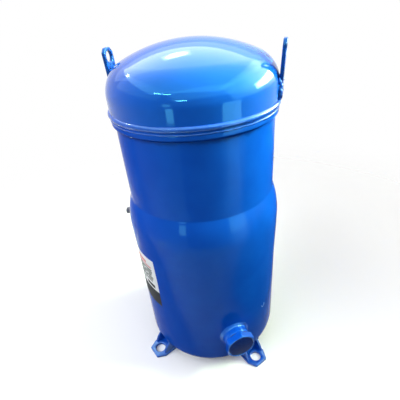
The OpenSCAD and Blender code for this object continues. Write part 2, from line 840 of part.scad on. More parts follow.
// Half width of a slot at radius r, which leaves teeth of even width
function slot_half(r) = r * sin(180 / slot_count) - tooth_w / 2;
module slot(gap) {
    in_w = slot_half(slot_in_r) - gap;
    out_w = slot_half(slot_out_r) - gap;
    polygon([[slot_in_r + gap, -in_w], [slot_out_r - gap, -out_w],
        [slot_out_r - gap, out_w], [slot_in_r + gap, in_w]]);
}
module at_slots() {
    for (i = [0:slot_count - 1]) rotate(360 * i / slot_count) children();
}
module stator_core() {
    color("gray") translate([0, 0, stator_z]) linear_extrude(stack_h) difference() {
        circle(r = stator_r);
        circle(r = stator_bore_r);
        at_slots() {
            slot(0);
            translate([stator_bore_r - over, -slot_open_w / 2])
                square([slot_in_r - stator_bore_r + 2 * over, slot_open_w]);
        }
        for (i = [0:5]) rotate(60 * i + 30) translate([stator_r - flat_d, -stator_r])
            square([stator_r, 2 * stator_r]);
    }
}
module end_turn(z) {
    translate([0, 0, z]) rotate_extrude() translate([(end_turn_in_r + end_turn_out_r) / 2, end_turn_h / 2])
        polygon(rounded(rectangle(end_turn_out_r - end_turn_in_r, end_turn_h), end_turn_round));
}
module stator_windings() {
    color("chocolate") union() {
        end_turn(stator_z - end_turn_h - slot_gap);
        end_turn(stator_top_z + slot_gap);
        translate([0, 0, stator_z - end_turn_h / 2]) linear_extrude(stack_h + end_turn_h)
            at_slots() slot(slot_gap);
    }
}

module lower_bearing_support() {
    color("slategray") difference() {
        union() {
            ring(bore_r - fit - support_rim_w, bore_r - fit, support_z, support_t);
            translate([0, 0, lower_bearing_z]) cylinder(r = support_hub_r, h = lower_l);
            for (i = [0:3]) rotate([0, 0, 90 * i]) translate([0, -support_arm_w / 2, support_z])
                cube([bore_r - fit - support_rim_w / 2, support_arm_w, support_t]);
        }
        translate([0, 0, lower_bearing_z - over]) cylinder(r = support_bore_r, h = lower_l + 2 * over);
    }
}
module lower_bearing() {
    color("goldenrod") ring(lower_r + run, lower_r + run + bearing_t, lower_bearing_z, lower_l);
}

module at_bolts() {
    for (i = [0:bolt_count - 1]) rotate([0, 0, 360 * (i + 0.5) / bolt_count])
        translate([bolt_circle_r, 0, 0]) children();
}
module main_bearing_housing() {
    swing = throw + axial;
    color("slategray") difference() {
        rotate_extrude() polygon([
            [housing_bore_r, main_z], [housing_bore_r + main_wall, main_z],
            [housing_bore_r + main_wall + housing_taper, cavity_z - main_wall],
            [cavity_r + cavity_wall, cavity_z], [cavity_r + cavity_wall + housing_taper, web_z],
            [chamber_r - housing_taper, web_z], [chamber_r, rim_under_z],
            [housing_r, rim_under_z], [housing_r, fixed_face_z], [chamber_r, fixed_face_z],
            [chamber_r, recess_z], [land_r, recess_z], [land_r, thrust_z],
            [cavity_r, thrust_z], [cavity_r, cavity_z], [housing_bore_r, cavity_z]]);
        for (side = [-1, 1]) translate([side * key_r, 0, recess_z])
            cube([key_l + 2 * swing, key_w + 2 * swing, 2 * (key_h + axial)], center = true);
        for (i = [0:3]) rotate([0, 0, 45 + 90 * i])
            translate([ring_in_r, -web_window_w / 2, web_z - over])
                cube([web_window_l, web_window_w, web_t + 2 * over]);
        at_bolts() translate([0, 0, fixed_face_z - bolt_l - over])
            cylinder(r = bolt_r + fit, h = bolt_l + 2 * over);
    }
}
module main_bearing() {
    color("goldenrod") ring(main_r + run, main_r + run + bearing_t, main_z, main_l);
}
module thrust_plate() {
    color("lightsteelblue") ring(cavity_r + land_edge, land_r - land_edge, thrust_z, thrust_t);
}

module fixed_scroll() {
    color("lightslategray") difference() {
        union() {
            rotate_extrude() polygon([
                [0, fixed_under_z], [pocket_r, fixed_under_z], [pocket_r, fixed_face_z],
                [fixed_flange_r, fixed_face_z], [fixed_flange_r, fixed_face_z + fixed_flange_t],
                [fixed_body_r, fixed_face_z + fixed_flange_t], [fixed_body_r, fixed_top_z],
                [float_out_r, fixed_top_z], [float_out_r, fixed_top_z - float_d],
                [float_in_r, fixed_top_z - float_d], [float_in_r, fixed_top_z],
                [boss_r, fixed_top_z], [boss_r, plate_under_z - axial], [0, plate_under_z - axial]]);
            rotate([0, 0, 180]) intersection() {
                wrap(wrap_t, wrap_from, fixed_to, orbit_top_z + tip, wrap_h + over);
                cylinder(r = (pocket_r + fixed_body_r) / 2, h = rim_z);
            }
        }
        rotate([0, 0, 180]) wrap(groove_w, groove_from, wrap_to, orbit_top_z + tip - over, groove_d + over);
        translate([0, 0, fixed_under_z - over]) cylinder(r = port_r, h = rim_z);
        for (az = window_az) rotate([0, 0, az])
            translate([-window_w / 2, pocket_r - window_lap, fixed_face_z - over])
                cube([window_w, fixed_wall + window_lap + over, window_h + over]);
        at_bolts() translate([0, 0, fixed_face_z - over])
            cylinder(r = bolt_r + 2 * fit, h = fixed_flange_t + 2 * over);
    }
}
// Strip in a wrap's tip groove that ends at angle to
module tip_seal(to, z) {
    wrap(groove_w - 2 * fit, groove_from + wrap_step, to - wrap_step, z, groove_d);
}
module fixed_tip_seal() {
    color("ivory") rotate([0, 0, 180])
        tip_seal(wrap_to, orbit_top_z + tip - seal_proud);
}
module fixed_scroll_bolts() {
    color("silver") at_bolts() {
        translate([0, 0, fixed_face_z - bolt_l]) cylinder(r = bolt_r, h = bolt_l + fixed_flange_t + over);
        translate([0, 0, fixed_face_z + fixed_flange_t])
            cylinder(r = bolt_head_r, h = bolt_head_h, $fn = 6);
    }
}
module floating_seal() {
    in_r = float_in_r + float_lip_r;
    out_r = float_out_r - float_lip_r;
    step_z = fixed_top_z - float_step;
    color("lightslategray") rotate_extrude() polygon([
        [float_in_r + fit, fixed_top_z - float_d], [float_out_r - fit, fixed_top_z - float_d],
        [float_out_r - fit, step_z], [out_r, step_z],
        [out_r - float_taper, plate_under_z], [in_r + float_taper, plate_under_z],
        [in_r, step_z], [float_in_r + fit, step_z]]);
}

module check_valve_cage() {
    color("silver") translate([0, 0, plate_top_z]) difference() {
        cylinder(r = cage_r, h = cage_h);
        translate([0, 0, -over]) cylinder(r = cage_r - cage_wall, h = cage_h - cage_roof_t + over);
        cylinder(r = cage_vent_r, h = cage_h + over);
        for (i = [0:2]) rotate([0, 0, 120 * i]) translate([0, -cage_window_w / 2, -over])
            cube([cage_r + over, cage_window_w, cage_h - cage_roof_t]);
    }
}
module check_valve_disc() {
    color("lightsteelblue") translate([0, 0, plate_top_z]) cylinder(r = disc_r, h = disc_t);
}

module crankshaft() {
    collar_z = cavity_z + axial;
    color("lightslategray") difference() {
        union() {
            rotate_extrude() polygon([
                [0, shaft_z], [lower_r, shaft_z], [lower_r, shoulder_top_z],
                [rotor_shaft_r, shoulder_top_z], [rotor_shaft_r, main_z - shaft_neck],
                [main_r, main_z - shaft_neck], [main_r, collar_z], [main_r + collar_w, collar_z],
                [main_r + collar_w, collar_z + collar_t], [0, collar_z + collar_t]]);
            translate([throw, 0, collar_z]) cylinder(r = pin_r, h = orbit_under_z - pin_drop - collar_z);
        }
        translate([oil_way_x, 0, shaft_z - over]) cylinder(r = oil_way_r, h = orbit_under_z);
    }
}
module drive_bush() {
    low_z = cavity_z + axial + collar_t;
    color("goldenrod") translate([throw, 0, 0])
        ring(pin_r + fit, bush_r, low_z, orbit_under_z - bush_drop - low_z);
}
module rotor_core() {
    color("gray") ring(rotor_shaft_r + fit, rotor_r, rotor_z, stack_h);
}
module rotor_end_rings() {
    color("silver") for (z = [rotor_z - end_ring_h, rotor_top_z])
        ring(end_ring_in_r, end_ring_out_r, z, end_ring_h);
}
module half_ring(z, h) {
    translate([0, 0, z]) rotate_extrude(angle = 180)
        translate([weight_in_r, 0]) square([weight_out_r - weight_in_r, h]);
}
module upper_counterweight() {
    color("slategray") rotate([0, 0, 90]) half_ring(rotor_top_z + end_ring_h, upper_weight_h);
}
module lower_counterweight() {
    color("slategray") rotate([0, 0, 270]) half_ring(rotor_z - end_ring_h - lower_weight_h, lower_weight_h);
}
module oil_pickup() {
    color("silver") rotate_extrude() polygon([
        [oil_way_x + oil_way_r, shaft_z], [lower_r - pickup_inset, shaft_z],
        [(lower_r + pickup_r) / 2, shaft_z - pickup_l / 2],
        [pickup_r, shaft_z - pickup_l], [pickup_bore_r, shaft_z - pickup_l]]);
}

module orbiting_scroll() {
    slot_l = key_l + 2 * (throw + axial);
    color("lightslategray") translate([throw, 0, 0]) difference() {
        union() {
            translate([0, 0, orbit_under_z]) cylinder(r = orbit_plate_r, h = orbit_plate_t);
            translate([0, 0, orbit_under_z - hub_l]) cylinder(r = hub_r, h = hub_l + over);
            wrap(wrap_t, wrap_from, wrap_to, orbit_top_z - over, wrap_h + over);
        }
        translate([0, 0, orbit_under_z - hub_l - over])
            cylinder(r = bush_r + run + bearing_t + fit, h = hub_l + over);
        for (side = [-1, 1]) translate([0, side * key_r, orbit_under_z])
            cube([key_w + 2 * fit, slot_l, 2 * (key_h - key_gap)], center = true);
        wrap(groove_w, groove_from, orbit_groove_to, orbit_top_z + wrap_h - groove_d, groove_d + over);
    }
}
module orbiting_bearing() {
    color("goldenrod") translate([throw, 0, 0])
        ring(bush_r + run, bush_r + run + bearing_t, orbit_under_z - hub_l, hub_l - hub_gap);
}
module orbiting_tip_seal() {
    color("ivory") translate([throw, 0, 0])
        tip_seal(orbit_groove_to, orbit_top_z + wrap_h - groove_d + seal_proud);
}
module oldham_ring() {
    key_top = orbit_under_z + key_h - 2 * key_gap;
    color("silver") translate([throw, 0, 0]) union() {
        ring(ring_in_r, ring_out_r, ring_z, ring_t);
        for (side = [-1, 1]) {
            translate([-key_w / 2, side * key_r - key_l / 2, ring_z])
                cube([key_w, key_l, key_top - ring_z]);
            translate([side * key_r - key_l / 2, -key_w / 2, recess_z - key_h])
                cube([key_l, key_w, key_h + ring_t]);
        }
    }
}

main_shell();
separator_plate();
top_cap();
cap_weld_bead();
lifting_lug_left();
lifting_lug_right();
mounting_foot_front_right();
mounting_foot_rear_right();
mounting_foot_rear_left();
mounting_foot_front_left();
oil_port_stub();
oil_port_gasket();
oil_port_plug();
suction_stub();
discharge_stub();
gauge_port_stub();
gauge_port_cap();
terminal_saddle();
terminal_box();
terminal_cover();
terminal_cover_screws();
terminal_cup();
terminal_glass();
terminal_pins();
terminal_earth_screw();
terminal_knockouts();
suction_baffle();
stator_core();
stator_windings();
lower_bearing_support();
lower_bearing();
main_bearing_housing();
main_bearing();
thrust_plate();
fixed_scroll();
fixed_tip_seal();
fixed_scroll_bolts();
floating_seal();
check_valve_cage();
check_valve_disc();
crankshaft();
drive_bush();
rotor_core();
rotor_end_rings();
upper_counterweight();
lower_counterweight();
oil_pickup();
orbiting_scroll();
orbiting_bearing();
orbiting_tip_seal();
oldham_ring();
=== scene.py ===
import json
import math

import bmesh
import bpy
from mathutils import Matrix, Vector, geometry, noise


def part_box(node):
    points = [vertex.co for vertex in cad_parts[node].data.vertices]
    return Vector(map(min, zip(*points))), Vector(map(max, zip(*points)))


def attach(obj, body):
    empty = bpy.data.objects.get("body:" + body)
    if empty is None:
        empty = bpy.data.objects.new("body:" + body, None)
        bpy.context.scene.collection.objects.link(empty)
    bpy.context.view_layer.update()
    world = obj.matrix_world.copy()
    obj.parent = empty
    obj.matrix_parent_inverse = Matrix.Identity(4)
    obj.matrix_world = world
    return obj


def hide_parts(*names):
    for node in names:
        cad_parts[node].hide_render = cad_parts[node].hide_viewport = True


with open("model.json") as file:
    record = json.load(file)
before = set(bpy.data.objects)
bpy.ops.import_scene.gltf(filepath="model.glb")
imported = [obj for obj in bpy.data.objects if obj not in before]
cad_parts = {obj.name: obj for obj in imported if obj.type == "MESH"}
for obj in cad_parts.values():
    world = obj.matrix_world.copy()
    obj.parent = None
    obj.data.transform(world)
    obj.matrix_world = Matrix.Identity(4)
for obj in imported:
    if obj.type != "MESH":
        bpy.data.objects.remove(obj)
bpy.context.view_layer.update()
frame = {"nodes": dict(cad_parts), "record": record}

MM = 0.001
FULL_TURN = 2 * math.pi

# How many straight steps make up a full turn
LARGE_STEPS = 288
SMALL_STEPS = 96
HOLE_STEPS = 48


def node_span(node):
    """Lowest and highest corner of a CAD node, in millimetres."""
    return [[value / MM for value in corner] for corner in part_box(node)]


# Sizes in millimetres. Those that a node's box gives are read from the frame.
(_, _, base_z), (swell_r, _, rim_z) = node_span("main_shell")
(_, _, cap_z), (cap_r, _, apex_z) = node_span("top_cap")
(_, _, bead_low_z), (bead_out_r, _, bead_high_z) = node_span("cap_weld_bead")
(_, _, lug_z), (_, _, lug_top_z) = node_span("lifting_lug_right")

shell_r = 125.5
neck_r = 117.5
shell_wall = 4
shell_edge_r = 37
mouth_h = 6
flare_h = 5
neck_h = 116
shoulder_h = 51
swell_h = 98
mouth_z = rim_z - mouth_h
flare_z = mouth_z - flare_h
neck_z = flare_z - neck_h
shoulder_z = neck_z - shoulder_h
swell_z = shoulder_z - swell_h
knuckle_z = base_z + shell_edge_r
crease = 0.5
crease_reach = 4
edge_round = 0.9

cap_wall = 5
cap_edge_r = 46
cap_crown_r = 222
cap_edge_x = cap_r - cap_edge_r
cap_angle = math.asin(cap_edge_x / (cap_crown_r - cap_edge_r))
cap_centre_z = apex_z - cap_crown_r
cap_edge_z = cap_centre_z + (cap_crown_r - cap_edge_r) * math.cos(cap_angle)

bead_r = 4.4
bead_z = (bead_low_z + bead_high_z) / 2
bead_mid_r = bead_out_r - bead_r


# Outlines
def shell_radius(z):
    """Outer radius of the main shell at a height above its bottom knuckle."""
    if z < knuckle_z:
        drop = min(knuckle_z - z, shell_edge_r)
        return shell_r - shell_edge_r + math.sqrt(shell_edge_r ** 2 - drop ** 2)
    if z < swell_z:
        return shell_r
    if z < shoulder_z:
        return shell_r + (swell_r - shell_r) * (1 - math.cos(math.pi * (z - swell_z) / swell_h)) / 2
    if z < flare_z - flare_h:
        slope = swell_r - (swell_r - neck_r) * ((z - shoulder_z) / shoulder_h) ** 2
        return (slope + neck_r + math.sqrt((slope - neck_r) ** 2 + crease ** 2)) / 2
    if z < flare_z:
        return neck_r
    if z < mouth_z:
        return neck_r + (cap_r - neck_r) * (1 - math.cos(math.pi * (z - flare_z) / flare_h)) / 2
    return cap_r


def cap_radius(z):
    """Outer radius of the top cap at a height."""
    if z < cap_edge_z:
        return cap_r
    edge_top_z = cap_edge_z + cap_edge_r * math.cos(cap_angle)
    if z < edge_top_z:
        return cap_edge_x + math.sqrt(cap_edge_r ** 2 - (z - cap_edge_z) ** 2)
    return math.sqrt(max(cap_crown_r ** 2 - (z - cap_centre_z) ** 2, 0))


def steps(start, end, count):
    """Evenly spaced values from start to end, both included."""
    return [start + (end - start) * i / count for i in range(count + 1)]


def arc(centre_r, centre_z, radius, start, end, count):
    """Points of (radius, height) on an arc, angles in degrees from the outward direction."""
    angles = [math.radians(a) for a in steps(start, end, count)]
    return [(centre_r + radius * math.cos(a), centre_z + radius * math.sin(a)) for a in angles]


def rounded(corners, radius, count=6):
    """A closed outline whose corners are rounded off."""
    points = []
    for i, corner in enumerate(corners):
        here = Vector(corner)
        back = (Vector(corners[i - 1]) - here).normalized()
        on = (Vector(corners[(i + 1) % len(corners)]) - here).normalized()
        half = math.acos(max(-1, min(1, back.dot(on)))) / 2
        centre = here + (back + on).normalized() * radius / math.sin(half)
        first = here + back * radius / math.tan(half) - centre
        last = here + on * radius / math.tan(half) - centre
        turn = math.atan2(first.x * last.y - first.y * last.x, first.dot(last))
        for k in range(count + 1):
            c, s = math.cos(turn * k / count), math.sin(turn * k / count)
            points.append((centre.x + c * first.x - s * first.y, centre.y + s * first.x + c * first.y))
    return points


def rectangle(width, height):
    x, y = width / 2, height / 2
    return [(-x, -y), (x, -y), (x, y), (-x, y)]


def circle(radius, count, centre=(0, 0)):
    angles = [FULL_TURN * k / count for k in range(count)]
    return [(centre[0] + radius * math.cos(a), centre[1] + radius * math.sin(a)) for a in angles]


def inset(outline, distance):
    """The outline moved inwards by a distance, for outlines that run anticlockwise."""
    sharpest = 0.3
    line = []
    for i, point in enumerate(outline):
        here, back, on = Vector(point), Vector(outline[i - 1]), Vector(outline[(i + 1) % len(outline)])
        a, b = (here - back).normalized(), (on - here).normalized()
        normal = Vector((-a.y - b.y, a.x + b.x)).normalized()
        line.append(tuple(here + normal * distance / max(sharpest, normal.dot(Vector((-a.y, a.x))))))
    return line


# Bodies of vertices and faces
def skin(rings, loop=False):
    """A closed body through rings of equally many points; loop joins the last ring to the first."""
    count = len(rings[0])
    points = [point for ring in rings for point in ring]
    faces = []
    for i in range(len(rings) if loop else len(rings) - 1):
        a, b = i * count, (i + 1) % len(rings) * count
        faces += [(a + k, a + (k + 1) % count, b + (k + 1) % count, b + k) for k in range(count)]
    if not loop:
        faces += [tuple(range(count)), tuple(range(len(points) - count, len(points)))]
    return points, faces


def turned(profile, count=LARGE_STEPS, loop=False):
    """A profile of (radius, height) turned about Z."""
    return skin([[(x, y, z) for x, y in circle(r, count)] for r, z in profile], loop)


def ring_around(line, a):
    """A line of (radius, height) stood at an angle around Z."""
    return [(r * math.cos(a), r * math.sin(a), z) for r, z in line]


def plate(outline, thick, edge, holes=(), rows=3):
    """A flat plate about z = 0 with rounded edges; the outline runs anticlockwise and the holes too."""
    flat_h = thick / 2 - edge
    angles = [math.pi / 2 * k / rows for k in range(rows, -1, -1)]
    drops = [(edge * (1 - math.cos(a)), flat_h + edge * math.sin(a)) for a in angles]
    drops += [(away, -height) for away, height in reversed(drops)]
    points, faces, first_loops, last_loops = [], [], [], []
    for number, line in enumerate([outline, *holes]):
        side = 1 if number == 0 else -1
        start, count = len(points), len(line)
        for away, height in drops:
            points += [(x, y, height) for x, y in inset(line, side * away)]
        for i in range(len(drops) - 1):
            a, b = start + i * count, start + (i + 1) * count
            faces += [(a + k, a + (k + 1) % count, b + (k + 1) % count, b + k) for k in range(count)]
        first_loops.append(list(range(start, start + count)))
        last_loops.append(list(range(len(points) - count, len(points))))
    for loops in (first_loops, last_loops):
        order = [index for line in loops for index in line]
        flat = [[Vector((points[index][0], points[index][1], 0)) for index in line] for line in loops]
        faces += [tuple(order[k] for k in face) for face in geometry.tessellate_polygon(flat)]
    return points, faces


def moved(body, change):
    points, faces = body
    return [change(Vector(point)) for point in points], faces


def joined(*bodies):
    points, faces = [], []
    for more_points, more_faces in bodies:
        start = len(points)
        points += more_points
        faces += [tuple(index + start for index in face) for face in more_faces]
    return points, faces


def outwards(az, z):
    """Local Z points away from the axis at an azimuth from the front, local Y up."""
    c, s = math.cos(math.radians(az)), math.sin(math.radians(az))
    return Matrix(((c, 0, s, 0), (s, 0, -c, 0), (0, 1, 0, z), (0, 0, 0, 1)))


def stood(body, az, z, out=0):
    """A body whose Z is turned outwards at an azimuth and a height, at a distance from the axis."""
    place = outwards(az, z)
    return moved(body, lambda p: place @ (p + Vector((0, 0, out))))


def weld_round(az, z, radius, leg, wall, seed, count=240):
    """A lumpy fillet weld where a round stub stands on a turned wall."""
    sink, root, bulge = 0.8, 1.0, 0.18
    broad, broad_scale, fine, fine_scale = 0.2, 3, 0.3, 16
    place = outwards(az, z)
    tag = Vector((0, 0, seed))
    rings = []
    for k in range(count):
        phi = FULL_TURN * k / count
        spot = Vector((math.cos(phi), math.sin(phi), 0))
        lump = broad * noise.noise(spot * broad_scale + tag) + fine * noise.noise(spot * fine_scale + tag)
        size = leg * (1 + lump)
        hollow = [(radius - sink, size)]
        hollow += [(radius + size * (1 - math.cos(t)), size * (1 - math.sin(t)))
                   for t in steps(0, math.pi / 2, 6)]
        section = [(r, h + bulge * size * math.sin(math.pi * i / (len(hollow) - 1)))
                   for i, (r, h) in enumerate(hollow)]
        section += [(radius + size, -root), (radius - sink, -root)]
        ring = []
        for r, h in section:
            x, y = r * math.cos(phi), r * math.sin(phi)
            ring.append(place @ Vector((x, y, math.sqrt(wall(z + y) ** 2 - x ** 2) + h)))
        rings.append(ring)
    return skin(rings, loop=True)


def weld_along(path, radius, seed, wobble=0.25, count=14):
    """A lumpy bead of weld along a path of points, thinner at both ends."""
    end_share, end_slope, lump_scale = 0.35, 4, 0.23
    aslant = Vector((0.31, 0.87, 0.39))
    last = len(path) - 1
    rings = []
    for i, point in enumerate(path):
        here = Vector(point)
        along = (Vector(path[min(i + 1, last)]) - Vector(path[max(i - 1, 0)])).normalized()
        side = along.cross(aslant).normalized()
        up = along.cross(side)
        swell = min(1, end_share + end_slope * min(i, last - i) / last)
        ring = []
        for k in range(count):
            a = FULL_TURN * k / count
            out = side * math.cos(a) + up * math.sin(a)
            lump = 1 + wobble * noise.noise((here + out * radius) * lump_scale + Vector((seed, 0, 0)))
            ring.append(here + out * radius * swell * lump)
        rings.append(ring)
    return skin(rings)


# Shader nodes
def noise_value(tree, place, scale, detail):
    """A noise texture on a place socket."""
    cloud = tree.nodes.new("ShaderNodeTexNoise")
    cloud.inputs["Scale"].default_value = scale
    cloud.inputs["Detail"].default_value = detail
    tree.links.new(place, cloud.inputs["Vector"])
    return cloud.outputs["Fac"]


def mapped(tree, value, ends, new_ends, smooth=False):
    """A value socket mapped from one range to another, and held to its ends."""
    change = tree.nodes.new("ShaderNodeMapRange")
    if smooth:
        change.interpolation_type = "SMOOTHSTEP"
    for name, number in zip(("From Min", "From Max", "To Min", "To Max"), (*ends, *new_ends)):
        change.inputs[name].default_value = number
    tree.links.new(value, change.inputs["Value"])
    return change.outputs["Result"]


def combined(tree, operation, *sources):
    """The result of a Math node on sockets and plain numbers."""
    maths = tree.nodes.new("ShaderNodeMath")
    maths.operation = operation
    for place, source in zip(maths.inputs, sources):
        if isinstance(source, (int, float)):
            place.default_value = source
        else:
            tree.links.new(source, place)
    return maths.outputs["Value"]


def empty_tree(owner):
    """The node tree of a material or world, cleared."""
    owner.use_nodes = True
    owner.node_tree.nodes.clear()
    return owner.node_tree


# Finishes
def linear(*srgb):
    """An sRGB colour of 0 to 255 as linear values of 0 to 1."""
    shares = [value / 255 for value in srgb]
    return tuple(c / 12.92 if c <= 0.04045 else ((c + 0.055) / 1.055) ** 2.4 for c in shares)


def finish(name, dark, light, metallic=0.0, rough=(0.3, 0.4), grain=60, bump=0.0, bump_grain=900, ior=1.5,
           stretch=(1, 1, 1), tint=(1, 1, 1), dull_edge=False):
    """A material whose colour and roughness wander a little over the surface."""
    wander = (0.3, 0.7)
    edge_slant, edge_gloss = (0.08, 0.5), (0.5, 0.02)
    bump_height = 0.2 * MM
    material = bpy.data.materials.new(name)
    material.use_nodes = True
    tree = material.node_tree
    nodes, links = tree.nodes, tree.links
    shader = nodes["Principled BSDF"]
    shader.inputs["Metallic"].default_value = metallic
    shader.inputs["IOR"].default_value = ior
    shader.inputs["Specular Tint"].default_value = (*tint, 1)
    scale = nodes.new("ShaderNodeMapping")
    scale.inputs["Scale"].default_value = stretch
    links.new(nodes.new("ShaderNodeTexCoord").outputs["Object"], scale.inputs["Vector"])
    place = scale.outputs["Vector"]
    cloud = noise_value(tree, place, grain, detail=4)
    ramp = nodes.new("ShaderNodeValToRGB")
    for number, colour in enumerate((dark, light)):
        ramp.color_ramp.elements[number].position = wander[number]
        ramp.color_ramp.elements[number].color = (*linear(*colour), 1)
    links.new(cloud, ramp.inputs["Fac"])
    links.new(ramp.outputs["Color"], shader.inputs["Base Color"])
    links.new(mapped(tree, cloud, wander, rough), shader.inputs["Roughness"])
    if dull_edge:
        slant = nodes.new("ShaderNodeLayerWeight").outputs["Facing"]
        links.new(mapped(tree, slant, edge_slant, edge_gloss), shader.inputs["Specular IOR Level"])
    if bump:
        relief = nodes.new("ShaderNodeBump")
        relief.inputs["Strength"].default_value = bump
        relief.inputs["Distance"].default_value = bump_height
        links.new(noise_value(tree, place, bump_grain, detail=2), relief.inputs["Height"])
        links.new(relief.outputs["Normal"], shader.inputs["Normal"])
    return material


def paint_shade_band(material, low, high, colour):
    """Paints shade into a finish: darkens a ragged band of it between two heights in millimetres."""
    rag_grain, rag_reach, full_from, full_to = 70, 4 * MM, 0.4, 0.6
    tree = material.node_tree
    base = tree.nodes["Principled BSDF"].inputs["Base Color"]
    before = base.links[0].from_socket
    place = tree.nodes.new("ShaderNodeTexCoord").outputs["Object"]
    height = tree.nodes.new("ShaderNodeSeparateXYZ")
    tree.links.new(place, height.inputs["Vector"])
    rag = noise_value(tree, place, rag_grain, detail=3)
    shift = mapped(tree, rag, (0, 1), (-rag_reach, rag_reach))
    ragged = combined(tree, "ADD", height.outputs["Z"], shift)
    ramp = tree.nodes.new("ShaderNodeValToRGB")
    ramp.color_ramp.elements[0].color = (0, 0, 0, 1)
    ramp.color_ramp.elements[1].color = (0, 0, 0, 1)
    for position in (full_from, full_to):
        ramp.color_ramp.elements.new(position).color = (1, 1, 1, 1)
    tree.links.new(mapped(tree, ragged, (low * MM, high * MM), (0, 1)), ramp.inputs["Fac"])
    mix = tree.nodes.new("ShaderNodeMix")
    mix.data_type = "RGBA"
    mix.inputs["B"].default_value = (*linear(*colour), 1)
    tree.links.new(ramp.outputs["Color"], mix.inputs["Factor"])
    tree.links.new(before, mix.inputs["A"])
    tree.links.new(mix.outputs["Result"], base)
    return material


blue = (5, 66, 168), (8, 72, 176)
wall_gloss = dict(rough=(0.03, 0.05), grain=25, bump=0.05, bump_grain=160, ior=1.36,
                  tint=(0.15, 0.78, 0.97), dull_edge=True)

# One finish for each material slot of the record
finishes = {}


def slot_finish(name, *colours, **settings):
    finishes[name] = finish(name, *colours, **settings)


slot_finish("shell_paint", *blue, **wall_gloss)
slot_finish("gasket", (38, 40, 44), (52, 54, 58), rough=(0.6, 0.75), bump=0.3)
slot_finish("copper_plate", (146, 80, 54), (172, 104, 74), metallic=1, rough=(0.25, 0.42), bump=0.1)
slot_finish("box_plastic", (30, 31, 33), (42, 43, 46), rough=(0.42, 0.55), bump=0.25, bump_grain=1500)
slot_finish("plated_steel", (168, 170, 172), (200, 201, 200), metallic=1, rough=(0.25, 0.4))
slot_finish("sealing_glass", (40, 96, 98), (58, 120, 120), rough=(0.08, 0.15))
slot_finish("pin_metal", (176, 148, 92), (205, 178, 118), metallic=1, rough=(0.25, 0.4))
slot_finish("lamination", (84, 88, 94), (118, 122, 126), metallic=1, rough=(0.4, 0.6), stretch=(1, 1, 40))
slot_finish("winding_copper", (140, 62, 30), (186, 98, 54), metallic=1, rough=(0.3, 0.5), bump=0.4)
slot_finish("cast_iron", (74, 76, 80), (96, 98, 102), metallic=0.7, rough=(0.5, 0.7), bump=0.3)
slot_finish("bearing_bronze", (150, 112, 60), (182, 142, 84), metallic=1, rough=(0.3, 0.45))
slot_finish("machined_steel", (150, 152, 156), (186, 188, 190), metallic=1, rough=(0.2, 0.35))
slot_finish("cast_aluminium", (170, 172, 174), (198, 199, 200), metallic=1, rough=(0.4, 0.55))
slot_finish("seal_polymer", (196, 186, 160), (216, 208, 186), rough=(0.4, 0.55))

# Variants of the paint
# Painted shade: the wall paint is darker in a ragged band around the flare, where the mouth's overhang shades
# the neck
flare_painted_shade, flare_reach = (5, 54, 142), 4
wall_paint = paint_shade_band(finish("wall_paint", *blue, **wall_gloss),
                         flare_z - flare_reach, flare_z + flare_reach, flare_painted_shade)
cap_paint = finish("cap_paint", (5, 67, 168), (8, 73, 176), rough=(0.05, 0.08), grain=25, bump=0.08,
                   bump_grain=160, ior=1.54, tint=(0.12, 0.72, 1.0))
bead_paint = finish("bead_paint", *blue, rough=(0.05, 0.09), grain=120, bump=0.12,
                    bump_grain=420, ior=1.6, tint=(0.4, 0.85, 1.0))
weld_paint = finish("weld_paint", *blue, rough=(0.05, 0.12), grain=120, bump=0.5,
                    bump_grain=260, ior=1.6, tint=(0.25, 0.85, 1.0))
foot_paint = finish("foot_paint", *blue, rough=(0.10, 0.2), grain=60, bump=0.2,
                    bump_grain=300, ior=1.62, tint=(0.5, 0.9, 1.0))
# Painted light: the oil stub and plug are a little lighter than the shell's blue, for their brightly lit
# flats
plug_lit_paint = finish("plug_lit_paint", (5, 72, 182), (8, 79, 192), rough=(0.05, 0.1), grain=120, bump=0.12,
                    bump_grain=300, ior=1.6, tint=(0.15, 0.82, 1.0))
# Painted shade: the plug's face is a darker blue than the plug, for the shade of a face turned down towards
# the floor
plug_face_shaded_paint = finish("plug_face_shaded_paint", (6, 32, 92), (10, 42, 108), rough=(0.3, 0.45), grain=180,
                         bump=0.15, ior=1.1)
# Painted shade: the lugs are a darker blue than the shell, for lugs that face away from the light and reflect
# darkness
lug_shaded_paint = finish("lug_shaded_paint", (4, 46, 120), (8, 58, 144), rough=(0.2, 0.3), grain=90, bump=0.05,
                   bump_grain=300, ior=1.45, tint=(0.15, 0.8, 1.0))
# Painted highlight: the run of paint is a pale blue for the glint on it
run_highlight_paint = finish("run_highlight_paint", (84, 138, 214), (110, 160, 226), rough=(0.05, 0.1), grain=90)
cap_dark = finish("cap_dark", (14, 24, 52), (22, 34, 66), rough=(0.35, 0.5), grain=90, bump=0.2)

# Braze and label
braze = finish("braze", (178, 146, 96), (204, 176, 124), metallic=1, rough=(0.3, 0.5), grain=300, bump=0.4)
printed = dict(rough=(0.4, 0.5), ior=1.2)
label_white = finish("label_white", (212, 216, 216), (226, 229, 229), grain=40, **printed)
label_grey = finish("label_grey", (84, 90, 86), (112, 118, 112), grain=400, **printed)
label_red = finish("label_red", (196, 40, 44), (208, 56, 58), grain=40, **printed)
label_black = finish("label_black", (26, 28, 31), (40, 42, 45), rough=(0.4, 0.5), grain=40, ior=1.12)

for subpart in frame["record"]["subparts"]:
    node = frame["nodes"][subpart["node"]]
    node.data.materials.clear()
    node.data.materials.append(finishes[subpart["material_slot"]])


# Pieces
hole_from, hole_to, hole_gap = 60, 160, 0.1
weld_sharp = 70


